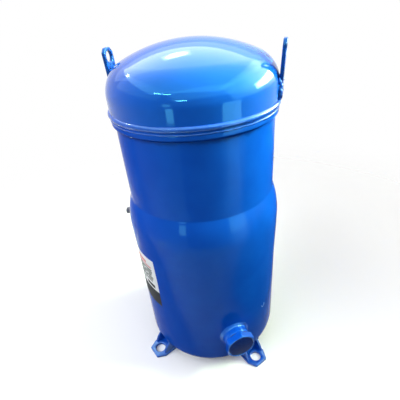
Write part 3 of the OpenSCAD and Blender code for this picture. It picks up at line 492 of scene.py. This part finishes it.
def mesh_object(name, body):
    """A mesh object from a body in millimetres, with its faces turned outwards."""
    points, faces = body
    mesh = bpy.data.meshes.new(name)
    mesh.from_pydata([Vector(point) * MM for point in points], [], faces)
    edited = bmesh.new()
    edited.from_mesh(mesh)
    bmesh.ops.recalc_face_normals(edited, faces=edited.faces)
    edited.to_mesh(mesh)
    edited.free()
    obj = bpy.data.objects.new(name, mesh)
    bpy.context.scene.collection.objects.link(obj)
    return obj


def piece(name, body, slot_name, replaced=(), holes=(), material=None, sharp=32):
    """Makes a mesh piece of the housing from a body in millimetres, with round holes cut through it."""
    obj = mesh_object(name, body)
    for az, z, radius in holes:
        cut(obj, az, z, radius + hole_gap)
    obj.data.shade_smooth()
    obj.data.set_sharp_from_angle(angle=math.radians(sharp))
    obj.data.materials.clear()
    obj.data.materials.append(material or finishes[slot_name])
    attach(obj, "housing")
    if replaced:
        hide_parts(*replaced)


def cut(obj, az, z, radius):
    """Cuts a radial hole through the wall."""
    rod = turned([(radius, hole_from), (radius, hole_to)], count=72)
    tool = mesh_object("cutter", stood(rod, az, z))
    change = obj.modifiers.new("hole", "BOOLEAN")
    change.operation = "DIFFERENCE"
    change.solver = "EXACT"
    change.object = tool
    bpy.context.view_layer.update()
    result = bpy.data.meshes.new_from_object(obj.evaluated_get(bpy.context.evaluated_depsgraph_get()))
    obj.modifiers.clear()
    old, rod_mesh = obj.data, tool.data
    obj.data = result
    bpy.data.meshes.remove(old)
    bpy.data.objects.remove(tool)
    bpy.data.meshes.remove(rod_mesh)


# Places on the wall
oil_az, oil_z = 27.5, knuckle_z + 49
oil_stub_r, oil_bore_r, oil_spigot_r = 23, 11, 14
rear_az = 180
suction_z, suction_stub_r = shoulder_z + 12, 20.56
discharge_z, discharge_stub_r = 501.56, 17.39
gauge_az, gauge_z, gauge_stub_r = 270, shoulder_z - 11, 4
term_az, term_z, term_cup_r = 218, shoulder_z + 22, 29


# Main shell
def shell_profile():
    """Up the outer wall, over the rim, and down the inner wall."""
    inner_share, rim_margin = 3, 2
    outer = arc(shell_r - shell_edge_r, knuckle_z, shell_edge_r, -90, 0, 24)
    heights = steps(knuckle_z, swell_z, 8)[1:]
    heights += steps(swell_z, neck_z - crease_reach, 44)[1:]
    heights += steps(neck_z - crease_reach, neck_z + crease_reach, 20)[1:]
    heights += steps(neck_z + crease_reach, flare_z, 8)[1:]
    heights += steps(flare_z, mouth_z, 12)[1:]
    outer += [(shell_radius(z), z) for z in heights]
    outer += arc(cap_r - edge_round, rim_z - edge_round, edge_round, 0, 90, 5)
    inner = [(cap_r - shell_wall, rim_z)]
    inner += [(r - shell_wall, z) for r, z in reversed(outer[::inner_share])
              if knuckle_z < z < rim_z - rim_margin]
    inner += arc(shell_r - shell_edge_r, knuckle_z, shell_edge_r - shell_wall, 0, -90, 12)
    return outer + inner


shell_holes = [(oil_az, oil_z, oil_spigot_r), (rear_az, suction_z, suction_stub_r),
               (gauge_az, gauge_z, gauge_stub_r), (term_az, term_z, term_cup_r)]
piece("shell", turned(shell_profile()), "shell_paint", ["main_shell"], holes=shell_holes, material=wall_paint)


# Top cap
def cap_profile():
    """Down the inner wall from the axis, around the lower edge, and up the outer wall."""
    near_axis, lift, bevel = 0.4, 0.02, 0.6
    inner_top, outer_top = 89, 89.9
    crown_edge = 90 - math.degrees(cap_angle)
    line = [(near_axis, apex_z - cap_wall)]
    line += arc(0, cap_centre_z, cap_crown_r - cap_wall, inner_top, crown_edge, 16)
    line += arc(cap_edge_x, cap_edge_z, cap_edge_r - cap_wall, crown_edge, 0, 16)[1:]
    line += [(cap_r - cap_wall, cap_z + lift), (cap_r - bevel, cap_z + lift), (cap_r, cap_z + bevel)]
    line += [(cap_r, z) for z in steps(cap_z + bevel, cap_edge_z, 6)[1:]]
    line += arc(cap_edge_x, cap_edge_z, cap_edge_r, 0, crown_edge, 48)[1:]
    line += arc(0, cap_centre_z, cap_crown_r, crown_edge, outer_top, 48)[1:]
    return line


piece("cap", turned(cap_profile()), "shell_paint", ["top_cap"],
      holes=[(rear_az, discharge_z, discharge_stub_r)], material=cap_paint)

# Weld bead around the cap, and the seam between the shell's mouth and the separator plate
bead_steps = 1440
bead_sharp = 60


def bead_body():
    """A bulged weld whose size and height wander along the cap's lower edge."""
    slack = 0.45
    slow_size, slow_scale = 0.4, 6
    rise_size, rise_scale, rise_tag = 0.5, 3, Vector((7, 0, 0))
    fine_size, fine_scale, fine_rows = 0.14, 34, 40
    ripple_size, ripple_count, ripple_stray, stray_scale = 0.03, 230, 4, 11
    foot_sink, foot_margin = 0.5, 0.2
    foot_r, foot_reach = cap_r - foot_sink, bead_r + foot_margin
    rings = []
    for k in range(bead_steps):
        a = FULL_TURN * k / bead_steps
        spot = Vector((math.cos(a), math.sin(a), 0))
        slow = slow_size * noise.noise(spot * slow_scale)
        stray = ripple_stray * noise.noise(spot * stray_scale)
        ripple = ripple_size * math.sin(a * ripple_count + stray)
        middle_z = bead_z + rise_size * noise.noise(spot * rise_scale + rise_tag)
        line = [(foot_r, bead_z - foot_reach)]
        for t in steps(-80, 80, 16):
            u = math.radians(t)
            fine = fine_size * noise.noise(spot * fine_scale + Vector((0, 0, t / fine_rows)))
            grow = bead_r - slack + slow + (ripple + fine) * math.cos(u)
            line.append((bead_mid_r + grow * math.cos(u), middle_z + grow * math.sin(u)))
        line.append((foot_r, bead_z + foot_reach))
        rings.append(ring_around(line, a))
    return skin(rings, loop=True)


def seam_body():
    """A thin lumpy line around the shell's mouth."""
    seam_r, sink, lift = 1.1, 0.35, 0.2
    broad, broad_scale, fine, fine_scale = 0.4, 13, 0.12, 40
    rise_size, rise_scale, rise_tag = 0.5, 9, Vector((3, 0, 0))
    rings = []
    for k in range(bead_steps):
        a = FULL_TURN * k / bead_steps
        spot = Vector((math.cos(a), math.sin(a), 0))
        size = seam_r * (1 + broad * noise.noise(spot * broad_scale) + fine * noise.noise(spot * fine_scale))
        middle_z = rim_z + lift + rise_size * noise.noise(spot * rise_scale + rise_tag)
        rings.append(ring_around(arc(cap_r - sink, middle_z, size, 0, 330, 11), a))
    return skin(rings, loop=True)


piece("cap_bead", bead_body(), "shell_paint", ["cap_weld_bead"], material=bead_paint, sharp=bead_sharp)
piece("seam_line", seam_body(), "shell_paint", material=bead_paint, sharp=bead_sharp)

# Lifting lugs
lug_w = 24
lug_top_w = 12
lug_corner_h = 6
lug_corner_r = 3
lug_t = 5
lug_sink = 1
lug_lean = 2.5
lug_bend_h = 20
lug_bend_reach = 2
lug_eye_d = 16
lug_eye_drop = 12
lug_turn = 7
lug_edge = 0.9
lug_in_r = cap_r - lug_sink
lug_bend_z = lug_z + lug_bend_h
lug_eye_z = lug_top_z - lug_eye_drop


def lug_body(az):
    """An upright plate with an eye, bent outwards a little above its foot."""
    corner_z = lug_top_z - lug_corner_h
    corners = [(-lug_w / 2, lug_z), (lug_w / 2, lug_z), (lug_w / 2, corner_z),
               (lug_top_w / 2, lug_top_z), (-lug_top_w / 2, lug_top_z), (-lug_w / 2, corner_z)]
    outline = rounded(corners, lug_corner_r)
    points, faces = plate(outline, lug_t, lug_edge, [circle(lug_eye_d / 2, HOLE_STEPS, (0, lug_eye_z))])
    mesh = bmesh.new()
    made = [mesh.verts.new(point) for point in points]
    for face in faces:
        mesh.faces.new([made[index] for index in face])
    for z in steps(lug_bend_z - lug_bend_reach, lug_bend_z + lug_bend_reach, 2):
        everything = mesh.verts[:] + mesh.edges[:] + mesh.faces[:]
        bmesh.ops.bisect_plane(mesh, geom=everything, plane_co=(0, z, 0), plane_no=(0, 1, 0))
    mesh.verts.index_update()
    points = [vertex.co.copy() for vertex in mesh.verts]
    faces = [tuple(vertex.index for vertex in face.verts) for face in mesh.faces]
    mesh.free()

    def stand(p):
        lean = lug_lean * max(0, p.y - lug_bend_z) / (lug_top_z - lug_bend_z)
        return outwards(az, 0) @ Vector((p.x, p.y, lug_in_r + lug_t / 2 + p.z + lean))
    return moved((points, faces), stand)


def lug_welds(az):
    """Fillet welds along both edges of a lug and under it, on the cap's wall."""
    side_r, side_wobble, side_from, side_to = 3.5, 0.6, 1, 27
    under_r, under_wobble, under_out = 2.8, 0.4, 1.9
    beside, proud = 0.4, 0.8
    place = outwards(az, 0)
    seams = []
    for side in (-1, 1):
        x = side * (lug_w / 2 + beside)
        path = [place @ Vector((x, z, math.sqrt(cap_radius(z) ** 2 - x ** 2) + proud))
                for z in steps(lug_z + side_from, lug_z + side_to, 26)]
        seams.append(weld_along(path, side_r, seed=az + side, wobble=side_wobble))
    path = [place @ Vector((x, lug_z - beside, lug_in_r + under_out))
            for x in steps(-lug_w / 2, lug_w / 2, 24)]
    seams.append(weld_along(path, under_r, seed=az, wobble=under_wobble))
    return joined(*seams)


for az, word in ((90 - lug_turn, "right"), (270 - lug_turn, "left")):
    piece("lug_" + word, lug_body(az), "shell_paint", ["lifting_lug_" + word], material=lug_shaded_paint)
    piece("lug_weld_" + word, lug_welds(az), "shell_paint", material=weld_paint, sharp=weld_sharp)

# Mounting feet
foot_t = base_z
foot_w = 41
foot_tip_w = 25
foot_tip_l = 16
foot_root_l = 62
foot_taper = 4
foot_corner_r = 3
foot_edge = 1.0
foot_hole_d = 19
foot_root_w = foot_w - foot_taper
web_t = 4
web_h = 26
web_slope = 0.7
web_bow = 3
web_sink = 1
web_root_gap = 16
web_edge = 0.9
hole_square = 190.5
hole_u = hole_square / math.sqrt(2)


def foot_body(az):
    """A flat plate with a bolt hole, and two upright webs along its sides."""
    root_u, tip_u = hole_u - foot_root_l, hole_u + foot_tip_l
    corners = [(root_u, -foot_root_w / 2), (hole_u, -foot_w / 2), (tip_u, -foot_tip_w / 2),
               (tip_u, foot_tip_w / 2), (hole_u, foot_w / 2), (root_u, foot_root_w / 2)]
    outline = rounded(corners, foot_corner_r)
    flat = plate(outline, foot_t, foot_edge, [circle(foot_hole_d / 2, HOLE_STEPS, (hole_u, 0))])
    bodies = [moved(flat, lambda p: p + Vector((0, 0, foot_t / 2)))]
    back_u, lean = root_u + web_root_gap, web_h * web_slope
    front = [(hole_u - lean * t + web_bow * math.sin(math.pi * t), -web_sink + (web_h + web_sink) * t)
             for t in steps(0, 1, 10)]
    web = plate([(back_u, -web_sink), *front, (back_u, web_h)], web_t, web_edge)
    for side in (-1, 1):
        v = side * (foot_root_w - web_t) / 2
        bodies.append(moved(web, lambda p, v=v: Vector((p.x, v - p.z, foot_t + p.y))))
    turn = Matrix.Rotation(math.radians(az), 4, "Z")
    return moved(joined(*bodies), lambda p: turn @ p)


def foot_welds(az):
    """Fillet welds where the webs of a foot meet the shell's bottom knuckle."""
    weld_r, wobble, beside, proud = 1.7, 0.45, 0.4, 0.3
    low_gap, top_gap = 3, 0.6
    low, high = foot_t + low_gap, foot_t + web_h - top_gap
    turn = Matrix.Rotation(math.radians(az), 4, "Z")
    seams = []
    for side in (-1, 1):
        v = side * foot_root_w / 2
        path = [turn @ Vector((math.sqrt(shell_radius(z) ** 2 - v ** 2) + proud, v + beside * side, z))
                for z in steps(low, high, 24)]
        seams.append(weld_along(path, weld_r, seed=az + side, wobble=wobble))
    return joined(*seams)


for az, word in ((-45, "front_right"), (45, "rear_right"), (135, "rear_left"), (225, "front_left")):
    piece("foot_" + word, foot_body(az), "shell_paint", ["mounting_foot_" + word], material=foot_paint)
    piece("foot_weld_" + word, foot_welds(az), "shell_paint", material=weld_paint, sharp=weld_sharp)

# Oil port
oil_weld_leg, oil_weld_seed = 4.0, 1.0
oil_stub_l = 13.5
oil_stub_sink = 3.6
oil_spigot_l = 6
oil_gasket_t = 1.5
stub_round = 1.5
stub_out = shell_r + oil_stub_l
stub_in = shell_r - oil_stub_sink
spigot_in = shell_r - oil_spigot_l
gasket_out = stub_out + oil_gasket_t
plug_af = 47
plug_turn = -3
plug_t = 12
plug_face_r = plug_af / 2 + 0.9
plug_rim_w = 1.9
plug_recess = 0.7
plug_shank_r = 10.9
plug_shank_l = 16
plug_sharp = 25

stub = [(oil_bore_r, spigot_in), (oil_spigot_r, spigot_in), (oil_spigot_r, stub_in), (oil_stub_r, stub_in)]
stub += arc(oil_stub_r - stub_round, stub_out - stub_round, stub_round, 0, 90, 5)
stub += [(oil_bore_r, stub_out)]
piece("oil_stub", stood(turned(stub, SMALL_STEPS, loop=True), oil_az, oil_z), "shell_paint",
      ["oil_port_stub"], material=plug_lit_paint)
piece("oil_stub_weld", weld_round(oil_az, oil_z, oil_stub_r, oil_weld_leg, shell_radius, oil_weld_seed),
      "shell_paint", material=weld_paint, sharp=weld_sharp)


def plug_body():
    """A hexagon chamfered to a round face, with a rim around the sunk middle of the face."""
    chamfer, chamfer_reach = 1.6, 1
    soft = 0.5
    foot_mid_h, foot_h, foot_cut = 0.25, 0.6, 0.5
    flank_from, flank_gap, cone_from = 1, 0.2, plug_t - 4
    rim_drop, rim_out_r, rim_in_r = 0.3, 0.6, 0.5
    count = 180
    flat = plug_af / 2
    corner = flat / math.cos(math.pi / 6)
    cone_slope = (corner + chamfer_reach - plug_face_r) / (chamfer + chamfer_reach)
    turns = [FULL_TURN * k / count for k in range(count)]

    def round_ring(r, z):
        return [(r * math.cos(a), r * math.sin(a), z) for a in turns]

    def hexagon(a):
        off = abs((math.degrees(a) - plug_turn + 30) % 60 - 30)
        return min(flat / math.cos(math.radians(off)), corner - soft)
    rings = [round_ring(plug_shank_r, -plug_shank_l), round_ring(plug_shank_r, 0)]
    heights = [0, foot_mid_h, foot_h]
    heights += steps(flank_from, cone_from - flank_gap, 4)
    heights += steps(cone_from, plug_t - rim_drop, 20)
    for z in heights:
        bottom = foot_cut * max(0, 1 - z / foot_h)
        cone = plug_face_r + (plug_t - z) * cone_slope
        sizes = [min(hexagon(a) - bottom, cone) for a in turns]
        rings.append([(r * math.cos(a), r * math.sin(a), z) for a, r in zip(turns, sizes)])
    edge = arc(plug_face_r - rim_out_r, plug_t - rim_out_r, rim_out_r, 30, 90, 4)
    edge += arc(plug_face_r - plug_rim_w + rim_in_r, plug_t - rim_in_r, rim_in_r, 90, 180, 4)
    edge += [(plug_face_r - plug_rim_w, plug_t - plug_recess)]
    return skin(rings + [round_ring(r, z) for r, z in edge])


piece("oil_plug", stood(plug_body(), oil_az, oil_z, gasket_out), "shell_paint", ["oil_port_plug"],
      material=plug_lit_paint, sharp=plug_sharp)
disc_r = plug_face_r - plug_rim_w
disc_z = plug_t - plug_recess
disc_hole_r, disc_sink, disc_rise, disc_dome = 0.05, 0.2, 0.15, 0.35
disc_foot_gap, disc_side_gap, disc_edge_gap = 0.3, 0.1, 0.5
disc = [(disc_hole_r, disc_z - disc_sink), (disc_r - disc_foot_gap, disc_z - disc_sink),
        (disc_r - disc_side_gap, disc_z), (disc_r - disc_edge_gap, disc_z + disc_rise),
        (disc_hole_r, disc_z + disc_dome)]
piece("oil_plug_face", stood(turned(disc, SMALL_STEPS), oil_az, oil_z, gasket_out), "shell_paint",
      material=plug_face_shaded_paint)

# Gauge port cap, a small grooved cap on the left
gauge_cap_from, gauge_cap_to, gauge_cap_r = 134.2, 144.0, 5.9
gauge_cap_bevel, gauge_cap_round = 0.4, 1.6
groove_count, groove_depth, groove_steps = 24, 0.25, 6


def gauge_cap_body():
    """A round cap with grooves along its side, which end where its front edge rounds off."""
    near_axis, groove_reach = 0.3, 0.5
    side_from = gauge_cap_from + 2 * gauge_cap_bevel
    side_to = gauge_cap_to - gauge_cap_round - gauge_cap_bevel
    line = [(near_axis, gauge_cap_from), (gauge_cap_r - gauge_cap_bevel, gauge_cap_from)]
    line += [(gauge_cap_r, gauge_cap_from + gauge_cap_bevel)]
    line += [(gauge_cap_r, out) for out in steps(side_from, side_to, 3)]
    line += arc(gauge_cap_r - gauge_cap_round, gauge_cap_to - gauge_cap_round, gauge_cap_round, 0, 90, 6)
    line += [(near_axis, gauge_cap_to)]
    turns = [FULL_TURN * k / (groove_count * groove_steps) for k in range(groove_count * groove_steps)]
    rings = []
    for r, out in line:
        depth = groove_depth if r > gauge_cap_r - groove_reach else 0
        sizes = [r - depth * max(0, math.cos(groove_count * a)) for a in turns]
        rings.append([(size * math.cos(a), size * math.sin(a), out) for a, size in zip(turns, sizes)])
    return skin(rings)


piece("gauge_cap", stood(gauge_cap_body(), gauge_az, gauge_z), "shell_paint", ["gauge_port_cap"],
      material=cap_dark)

# Tube stubs at the rear: a painted weld on the wall and a fillet of braze on the collar
collar_w = 6
suction_collar_out, discharge_collar_out = 133.1, 128.0
weld_leg, braze_leg, braze_sink = 2.6, 2.2, 0.3
for name, z, stub_r, collar_out, wall in (
        ("suction", suction_z, suction_stub_r, suction_collar_out, shell_radius),
        ("discharge", discharge_z, discharge_stub_r, discharge_collar_out, cap_radius)):
    piece(name + "_weld", weld_round(rear_az, z, stub_r + collar_w, weld_leg, wall, z), "shell_paint",
          material=weld_paint, sharp=weld_sharp)
    fillet = [(stub_r - braze_sink, collar_out - braze_sink), (stub_r + braze_leg, collar_out - braze_sink)]
    fillet += arc(stub_r + braze_leg, collar_out + braze_leg, braze_leg, 270, 180, 8)
    fillet += [(stub_r - braze_sink, collar_out + braze_leg)]
    piece(name + "_braze", stood(turned(fillet, SMALL_STEPS, loop=True), rear_az, z), "copper_plate",
          material=braze)

# Terminal box: a seal between box and cover, and a raised panel on the cover
box_w, box_h, box_round, seal_out, cover_out = 100, 110, 8, 170.1, 182.1
seal_lip, seal_w, seal_t, seal_edge = 0.5, 4, 1.2, 0.4
panel_border, panel_t, panel_round, panel_edge = 17, 2.0, 6, 0.9

seal_line = rounded(rectangle(box_w + 2 * seal_lip, box_h + 2 * seal_lip), box_round + seal_lip)
seal_hole = rounded(rectangle(box_w - 2 * seal_w, box_h - 2 * seal_w), box_round - seal_w)
seal = plate(seal_line, seal_t, seal_edge, [seal_hole])
piece("box_seal", stood(seal, term_az, term_z, seal_out), "gasket")
panel_line = rounded(rectangle(box_w - 2 * panel_border, box_h - 2 * panel_border), panel_round, count=10)
panel = plate(panel_line, panel_t, panel_edge, rows=5)
piece("cover_panel", stood(panel, term_az, term_z, cover_out), "box_plastic")

# A run of paint that dried on the right of the shell, coloured much paler than the paint as a painted
# highlight, as turns in degrees and rises along its line
run_az, run_z, run_r, run_proud, run_seed = 58, 116, 0.9, 0.1, 4
run_line = [(-2.2, 6), (-1.8, 3), (-1.1, 1), (0, 0), (0.9, 1.2), (1.5, 3.5), (1.8, 7)]
run_path = [outwards(run_az + turn, run_z) @ Vector((0, rise, shell_r + run_proud))
            for turn, rise in run_line]
piece("paint_run", weld_along(run_path, run_r, run_seed), "shell_paint", material=run_highlight_paint, sharp=weld_sharp)

# Label on the left, with plain bars, rules and cells. Azimuths are in degrees from the front.
label_from, label_to = 278.5, 326.5
label_low, label_band, label_high = 143.0, 177.0, 250.0
label_lift, mark_lift, label_sink = 0.15, 0.24, 0.05
mark_from, mark_to = 285, 322


def label_sheet(az_from, az_to, low, high, lift):
    """A thin sheet bent around the shell, between two azimuths and two heights."""
    rows = steps(low, high, 24)
    turns = steps(az_from, az_to, 40)
    points = [outwards(az, z) @ Vector((0, 0, shell_radius(z) + out))
              for out in (lift, -label_sink) for z in rows for az in turns]
    width, size = len(turns), len(rows) * len(turns)
    faces = []
    for i in range(len(rows) - 1):
        for k in range(width - 1):
            a = i * width + k
            faces.append((a, a + 1, a + width + 1, a + width))
            faces.append((size + a, size + a + width, size + a + width + 1, size + a + 1))
    rim = list(range(width))
    rim += [i * width + width - 1 for i in range(1, len(rows))]
    rim += [(len(rows) - 1) * width + k for k in range(width - 2, -1, -1)]
    rim += [i * width for i in range(len(rows) - 2, 0, -1)]
    for k, a in enumerate(rim):
        b = rim[(k + 1) % len(rim)]
        faces.append((a, size + a, size + b, b))
    return points, faces


def label_mark(name, az_from, az_to, low, high, material):
    piece(name, label_sheet(az_from, az_to, low, high, mark_lift), "shell_paint", material=material)


piece("label_field", label_sheet(label_from, label_to, label_band, label_high, label_lift), "shell_paint",
      material=label_white)
piece("label_band", label_sheet(label_from, label_to, label_low, label_band, label_lift), "shell_paint",
      material=label_black)

# Marks on the label: azimuths from and to, lowest and highest height, colour
label_mark("label_bar_red", 296, 316, 234.5, 238.5, label_red)
label_mark("label_rule_red", mark_from, mark_to, 228.5, 231.0, label_red)
label_mark("label_rule_thin", mark_from, mark_to, 222.5, 225.0, label_black)
row_top, row_step, row_h, row_gap = 217.5, 4.6, 3.4, 2
row_ends = [312, 308, 314, 310, 313, 307]
for number, row_end in enumerate(row_ends):
    low = row_top - row_step * number
    label_mark("label_row_%d" % number, mark_from, row_end, low, low + row_h, label_grey)
    cell_from, cell_to = row_end + row_gap, mark_to - number % 3
    label_mark("label_cell_%d" % number, cell_from, cell_to, low, low + row_h, label_grey)
label_mark("label_foot_left", mark_from, 308, 186.0, 190.0, label_black)
label_mark("label_foot_right", 311, mark_to, 181.5, 188.5, label_black)

# Stage, with lengths in metres
scene = bpy.context.scene
scene.view_settings.view_transform = "Standard"


def background(tree, strength):
    shader = tree.nodes.new("ShaderNodeBackground")
    shader.inputs["Color"].default_value = (1, 1, 1, 1)
    shader.inputs["Strength"].default_value = strength
    return shader.outputs[0]


def studio_world(seen, ambient):
    """A world with one white level for the eye and the gloss, and another for the light it gives."""
    world = bpy.data.worlds.new("studio")
    scene.world = world
    tree = empty_tree(world)
    ray = tree.nodes.new("ShaderNodeLightPath").outputs
    looked_at = combined(tree, "MAXIMUM", ray["Is Camera Ray"], ray["Is Glossy Ray"])
    looked_at = combined(tree, "MAXIMUM", looked_at, ray["Is Transmission Ray"])
    pick = tree.nodes.new("ShaderNodeMixShader")
    out = tree.nodes.new("ShaderNodeOutputWorld")
    tree.links.new(looked_at, pick.inputs["Fac"])
    tree.links.new(background(tree, ambient), pick.inputs[1])
    tree.links.new(background(tree, seen), pick.inputs[2])
    tree.links.new(pick.outputs[0], out.inputs["Surface"])


def studio_floor(radius, fade_from, fade_to, grey, bounce_grey):
    """A pale round floor that fades into the white world, and throws little light back."""
    mesh = bpy.data.meshes.new("floor")
    points = [(x, y, 0) for x, y in circle(radius, SMALL_STEPS)]
    mesh.from_pydata(points, [], [tuple(range(SMALL_STEPS))])
    floor = bpy.data.objects.new("floor", mesh)
    scene.collection.objects.link(floor)
    material = bpy.data.materials.new("floor")
    tree = empty_tree(material)
    nodes, links = tree.nodes, tree.links
    shade = nodes.new("ShaderNodeMix")
    shade.data_type = "RGBA"
    shade.inputs["A"].default_value = (grey, grey, grey, 1)
    shade.inputs["B"].default_value = (bounce_grey, bounce_grey, bounce_grey, 1)
    links.new(nodes.new("ShaderNodeLightPath").outputs["Is Diffuse Ray"], shade.inputs["Factor"])
    matt = nodes.new("ShaderNodeBsdfDiffuse")
    links.new(shade.outputs["Result"], matt.inputs["Color"])
    clear = nodes.new("ShaderNodeBsdfTransparent")
    far = nodes.new("ShaderNodeVectorMath")
    far.operation = "LENGTH"
    links.new(nodes.new("ShaderNodeTexCoord").outputs["Object"], far.inputs[0])
    mix = nodes.new("ShaderNodeMixShader")
    out = nodes.new("ShaderNodeOutputMaterial")
    fade = mapped(tree, far.outputs["Value"], (fade_from, fade_to), (0, 1), smooth=True)
    links.new(fade, mix.inputs["Fac"])
    links.new(matt.outputs[0], mix.inputs[1])
    links.new(clear.outputs[0], mix.inputs[2])
    links.new(mix.outputs[0], out.inputs["Surface"])
    mesh.materials.append(material)


studio_world(seen=1, ambient=0.4)
studio_floor(radius=3, fade_from=0.35, fade_to=1.1, grey=0.9, bounce_grey=0.1)

# Lamps and cards
middle = (0, 0, 0.5)
white, cool, warm, pale = (1, 1, 1), (0.9, 0.94, 1.0), (0.8, 1.0, 0.64), (1.0, 1.0, 0.88)


def lamp(name, az, elevation, distance, width, height, power, colour, rim, aim):
    """A rectangular lamp that faces the object; with a rim value it fades to that share at its border."""
    border, core = 0.5, 0.12
    data = bpy.data.lights.new(name, "AREA")
    data.shape = "RECTANGLE"
    data.size, data.size_y, data.energy, data.color = width, height, power, colour
    obj = bpy.data.objects.new(name, data)
    scene.collection.objects.link(obj)
    a, e = math.radians(az), math.radians(elevation)
    away = Vector((math.sin(a) * math.cos(e), -math.cos(a) * math.cos(e), math.sin(e)))
    obj.location = Vector(aim) + away * distance
    obj.rotation_euler = away.to_track_quat("Z", "Y").to_euler()
    obj.visible_camera = False
    if rim is not None:
        data.use_nodes = True
        tree = data.node_tree
        centred = tree.nodes.new("ShaderNodeVectorMath")
        centred.operation = "SUBTRACT"
        centred.inputs[1].default_value = (0.5, 0.5, 0)
        length = tree.nodes.new("ShaderNodeVectorMath")
        length.operation = "LENGTH"
        where = tree.nodes.new("ShaderNodeNewGeometry")
        tree.links.new(where.outputs["Parametric"], centred.inputs[0])
        tree.links.new(centred.outputs["Vector"], length.inputs[0])
        fade = mapped(tree, length.outputs["Value"], (border, core), (rim, 1), smooth=True)
        tree.links.new(fade, tree.nodes["Emission"].inputs["Strength"])
    return obj


def card(name, az, elevation, distance, width, height, radiance, colour=white, rim=None, aim=middle):
    """A bright card that only shows in the gloss of the paint."""
    power = radiance * math.pi * width * height
    obj = lamp(name, az, elevation, distance, width, height, power, colour, rim, aim)
    obj.visible_diffuse = False


def fill(name, az, elevation, distance, width, height, power, colour=white, spread=180, aim=middle):
    """A soft lamp that doesn't show in the gloss of the paint."""
    obj = lamp(name, az, elevation, distance, width, height, power, colour, None, aim)
    obj.data.spread = math.radians(spread)
    obj.visible_glossy = False


# Azimuth from the front and elevation in degrees, distance, width, height, and power in watts
fill("top_fill", 0, 90, 1.3, 2.0, 2.0, 14)
fill("front_fill", 318, 30, 1.8, 1.2, 0.9, 18.5, cool)
fill("left_fill", 285, 30, 1.8, 1.0, 0.8, 13, cool)
fill("right_key", 105, 25, 1.3, 0.8, 0.5, 11.5, warm, spread=42, aim=(0, 0, 0.61))
fill("right_high", 100, 60, 1.6, 0.5, 0.5, 11, pale)

# The same columns, with a brightness in the place of the power
card("ceiling_card", 0, 90, 1.5, 4.2, 4.2, 2.7)
card("front_card", 24, 32, 1.9, 3.0, 1.0, 1.8, cool)
card("left_card", 290, 32, 1.9, 2.6, 1.0, 0.8, cool)
card("right_card", 98, 23, 1.75, 3.2, 1.6, 7.0, rim=0.35)
card("rear_card", 188, 45, 1.8, 4.8, 1.2, 1.15, rim=0.7)
card("rear_window", 200, 46, 1.5, 0.36, 0.2, 30, rim=0.06)
card("right_window", 113, 14, 0.95, 0.75, 0.2, 95, rim=0.3, aim=(0, 0, 0.46))
card("front_tube", 330, 31, 1.6, 0.6, 0.02, 120)
card("left_tube", 246, 36, 1.6, 0.16, 0.05, 90)
card("low_tube", 356, 14, 1.6, 0.34, 0.017, 100)
card("right_screen", 55, -14, 0.98, 0.40, 0.34, 3.9)
card("right_stand", 57, -30, 0.9, 0.26, 0.24, 1.1)
card("left_screen", 338, 2, 1.8, 0.3, 0.22, 3.0)
card("left_stand", 342, -12, 1.75, 0.36, 0.34, 4.2)


def board(name, corners, grey, fade):
    """A dark board that only shows in the gloss of the paint, and fades to white over a share of its size."""
    unit_square = ((0, 0), (1, 0), (1, 1), (0, 1))
    mesh = bpy.data.meshes.new(name)
    mesh.from_pydata(corners, [], [(0, 1, 2, 3)])
    square = mesh.uv_layers.new(name="square")
    for corner, spot in zip(square.data, unit_square):
        corner.uv = spot
    obj = bpy.data.objects.new(name, mesh)
    scene.collection.objects.link(obj)
    obj.visible_camera = False
    obj.visible_diffuse = False
    obj.visible_transmission = False
    obj.visible_shadow = False
    material = bpy.data.materials.new(name)
    tree = empty_tree(material)
    split = tree.nodes.new("ShaderNodeSeparateXYZ")
    tree.links.new(tree.nodes.new("ShaderNodeTexCoord").outputs["UV"], split.inputs["Vector"])
    rises = []
    for axis in "XY":
        from_border = combined(tree, "PINGPONG", split.outputs[axis], 0.5)
        rises.append(mapped(tree, from_border, (0, fade), (0, 1), smooth=True))
    level = mapped(tree, combined(tree, "MULTIPLY", *rises), (0, 1), (1, grey))
    glow = tree.nodes.new("ShaderNodeEmission")
    out = tree.nodes.new("ShaderNodeOutputMaterial")
    tree.links.new(level, glow.inputs["Strength"])
    tree.links.new(glow.outputs[0], out.inputs["Surface"])
    mesh.materials.append(material)


board("right_board", [(0.12, -0.3, 0.002), (1.3, -0.3, 0.002), (1.3, 1.0, 0.002), (0.12, 1.0, 0.002)],
      grey=0.12, fade=0.08)
board("front_board", [(-0.14, -0.60, 0.02), (0.40, -0.47, 0.02), (0.40, -0.47, 0.50), (-0.14, -0.60, 0.50)],
      grey=0.55, fade=0.015)

# Camera, at the photograph's viewing angle
focal_pixels, picture_pixels, sensor_width = 320.8, 400, 36
camera_place = (0.08907, -0.46718, 0.59809)
pitch, roll, swing = math.radians(31.92), math.radians(-5.344), math.radians(11.35)

camera_data = bpy.data.cameras.new("camera")
camera_data.sensor_width = sensor_width
camera_data.lens = focal_pixels / picture_pixels * sensor_width
camera = bpy.data.objects.new("camera", camera_data)
scene.collection.objects.link(camera)
up = Vector((0, math.sin(pitch), math.cos(pitch)))
ahead = Vector((0, math.cos(pitch), -math.sin(pitch)))
right = Vector((1, 0, 0))
axis_x = math.cos(roll) * right + math.sin(roll) * up
axis_y = -math.sin(roll) * right + math.cos(roll) * up
turn = Matrix.Rotation(swing, 3, "Z")
axes = Matrix((turn @ axis_x, turn @ axis_y, turn @ -ahead)).transposed()
camera.matrix_world = Matrix.Translation(camera_place) @ axes.to_4x4()
scene.camera = camera
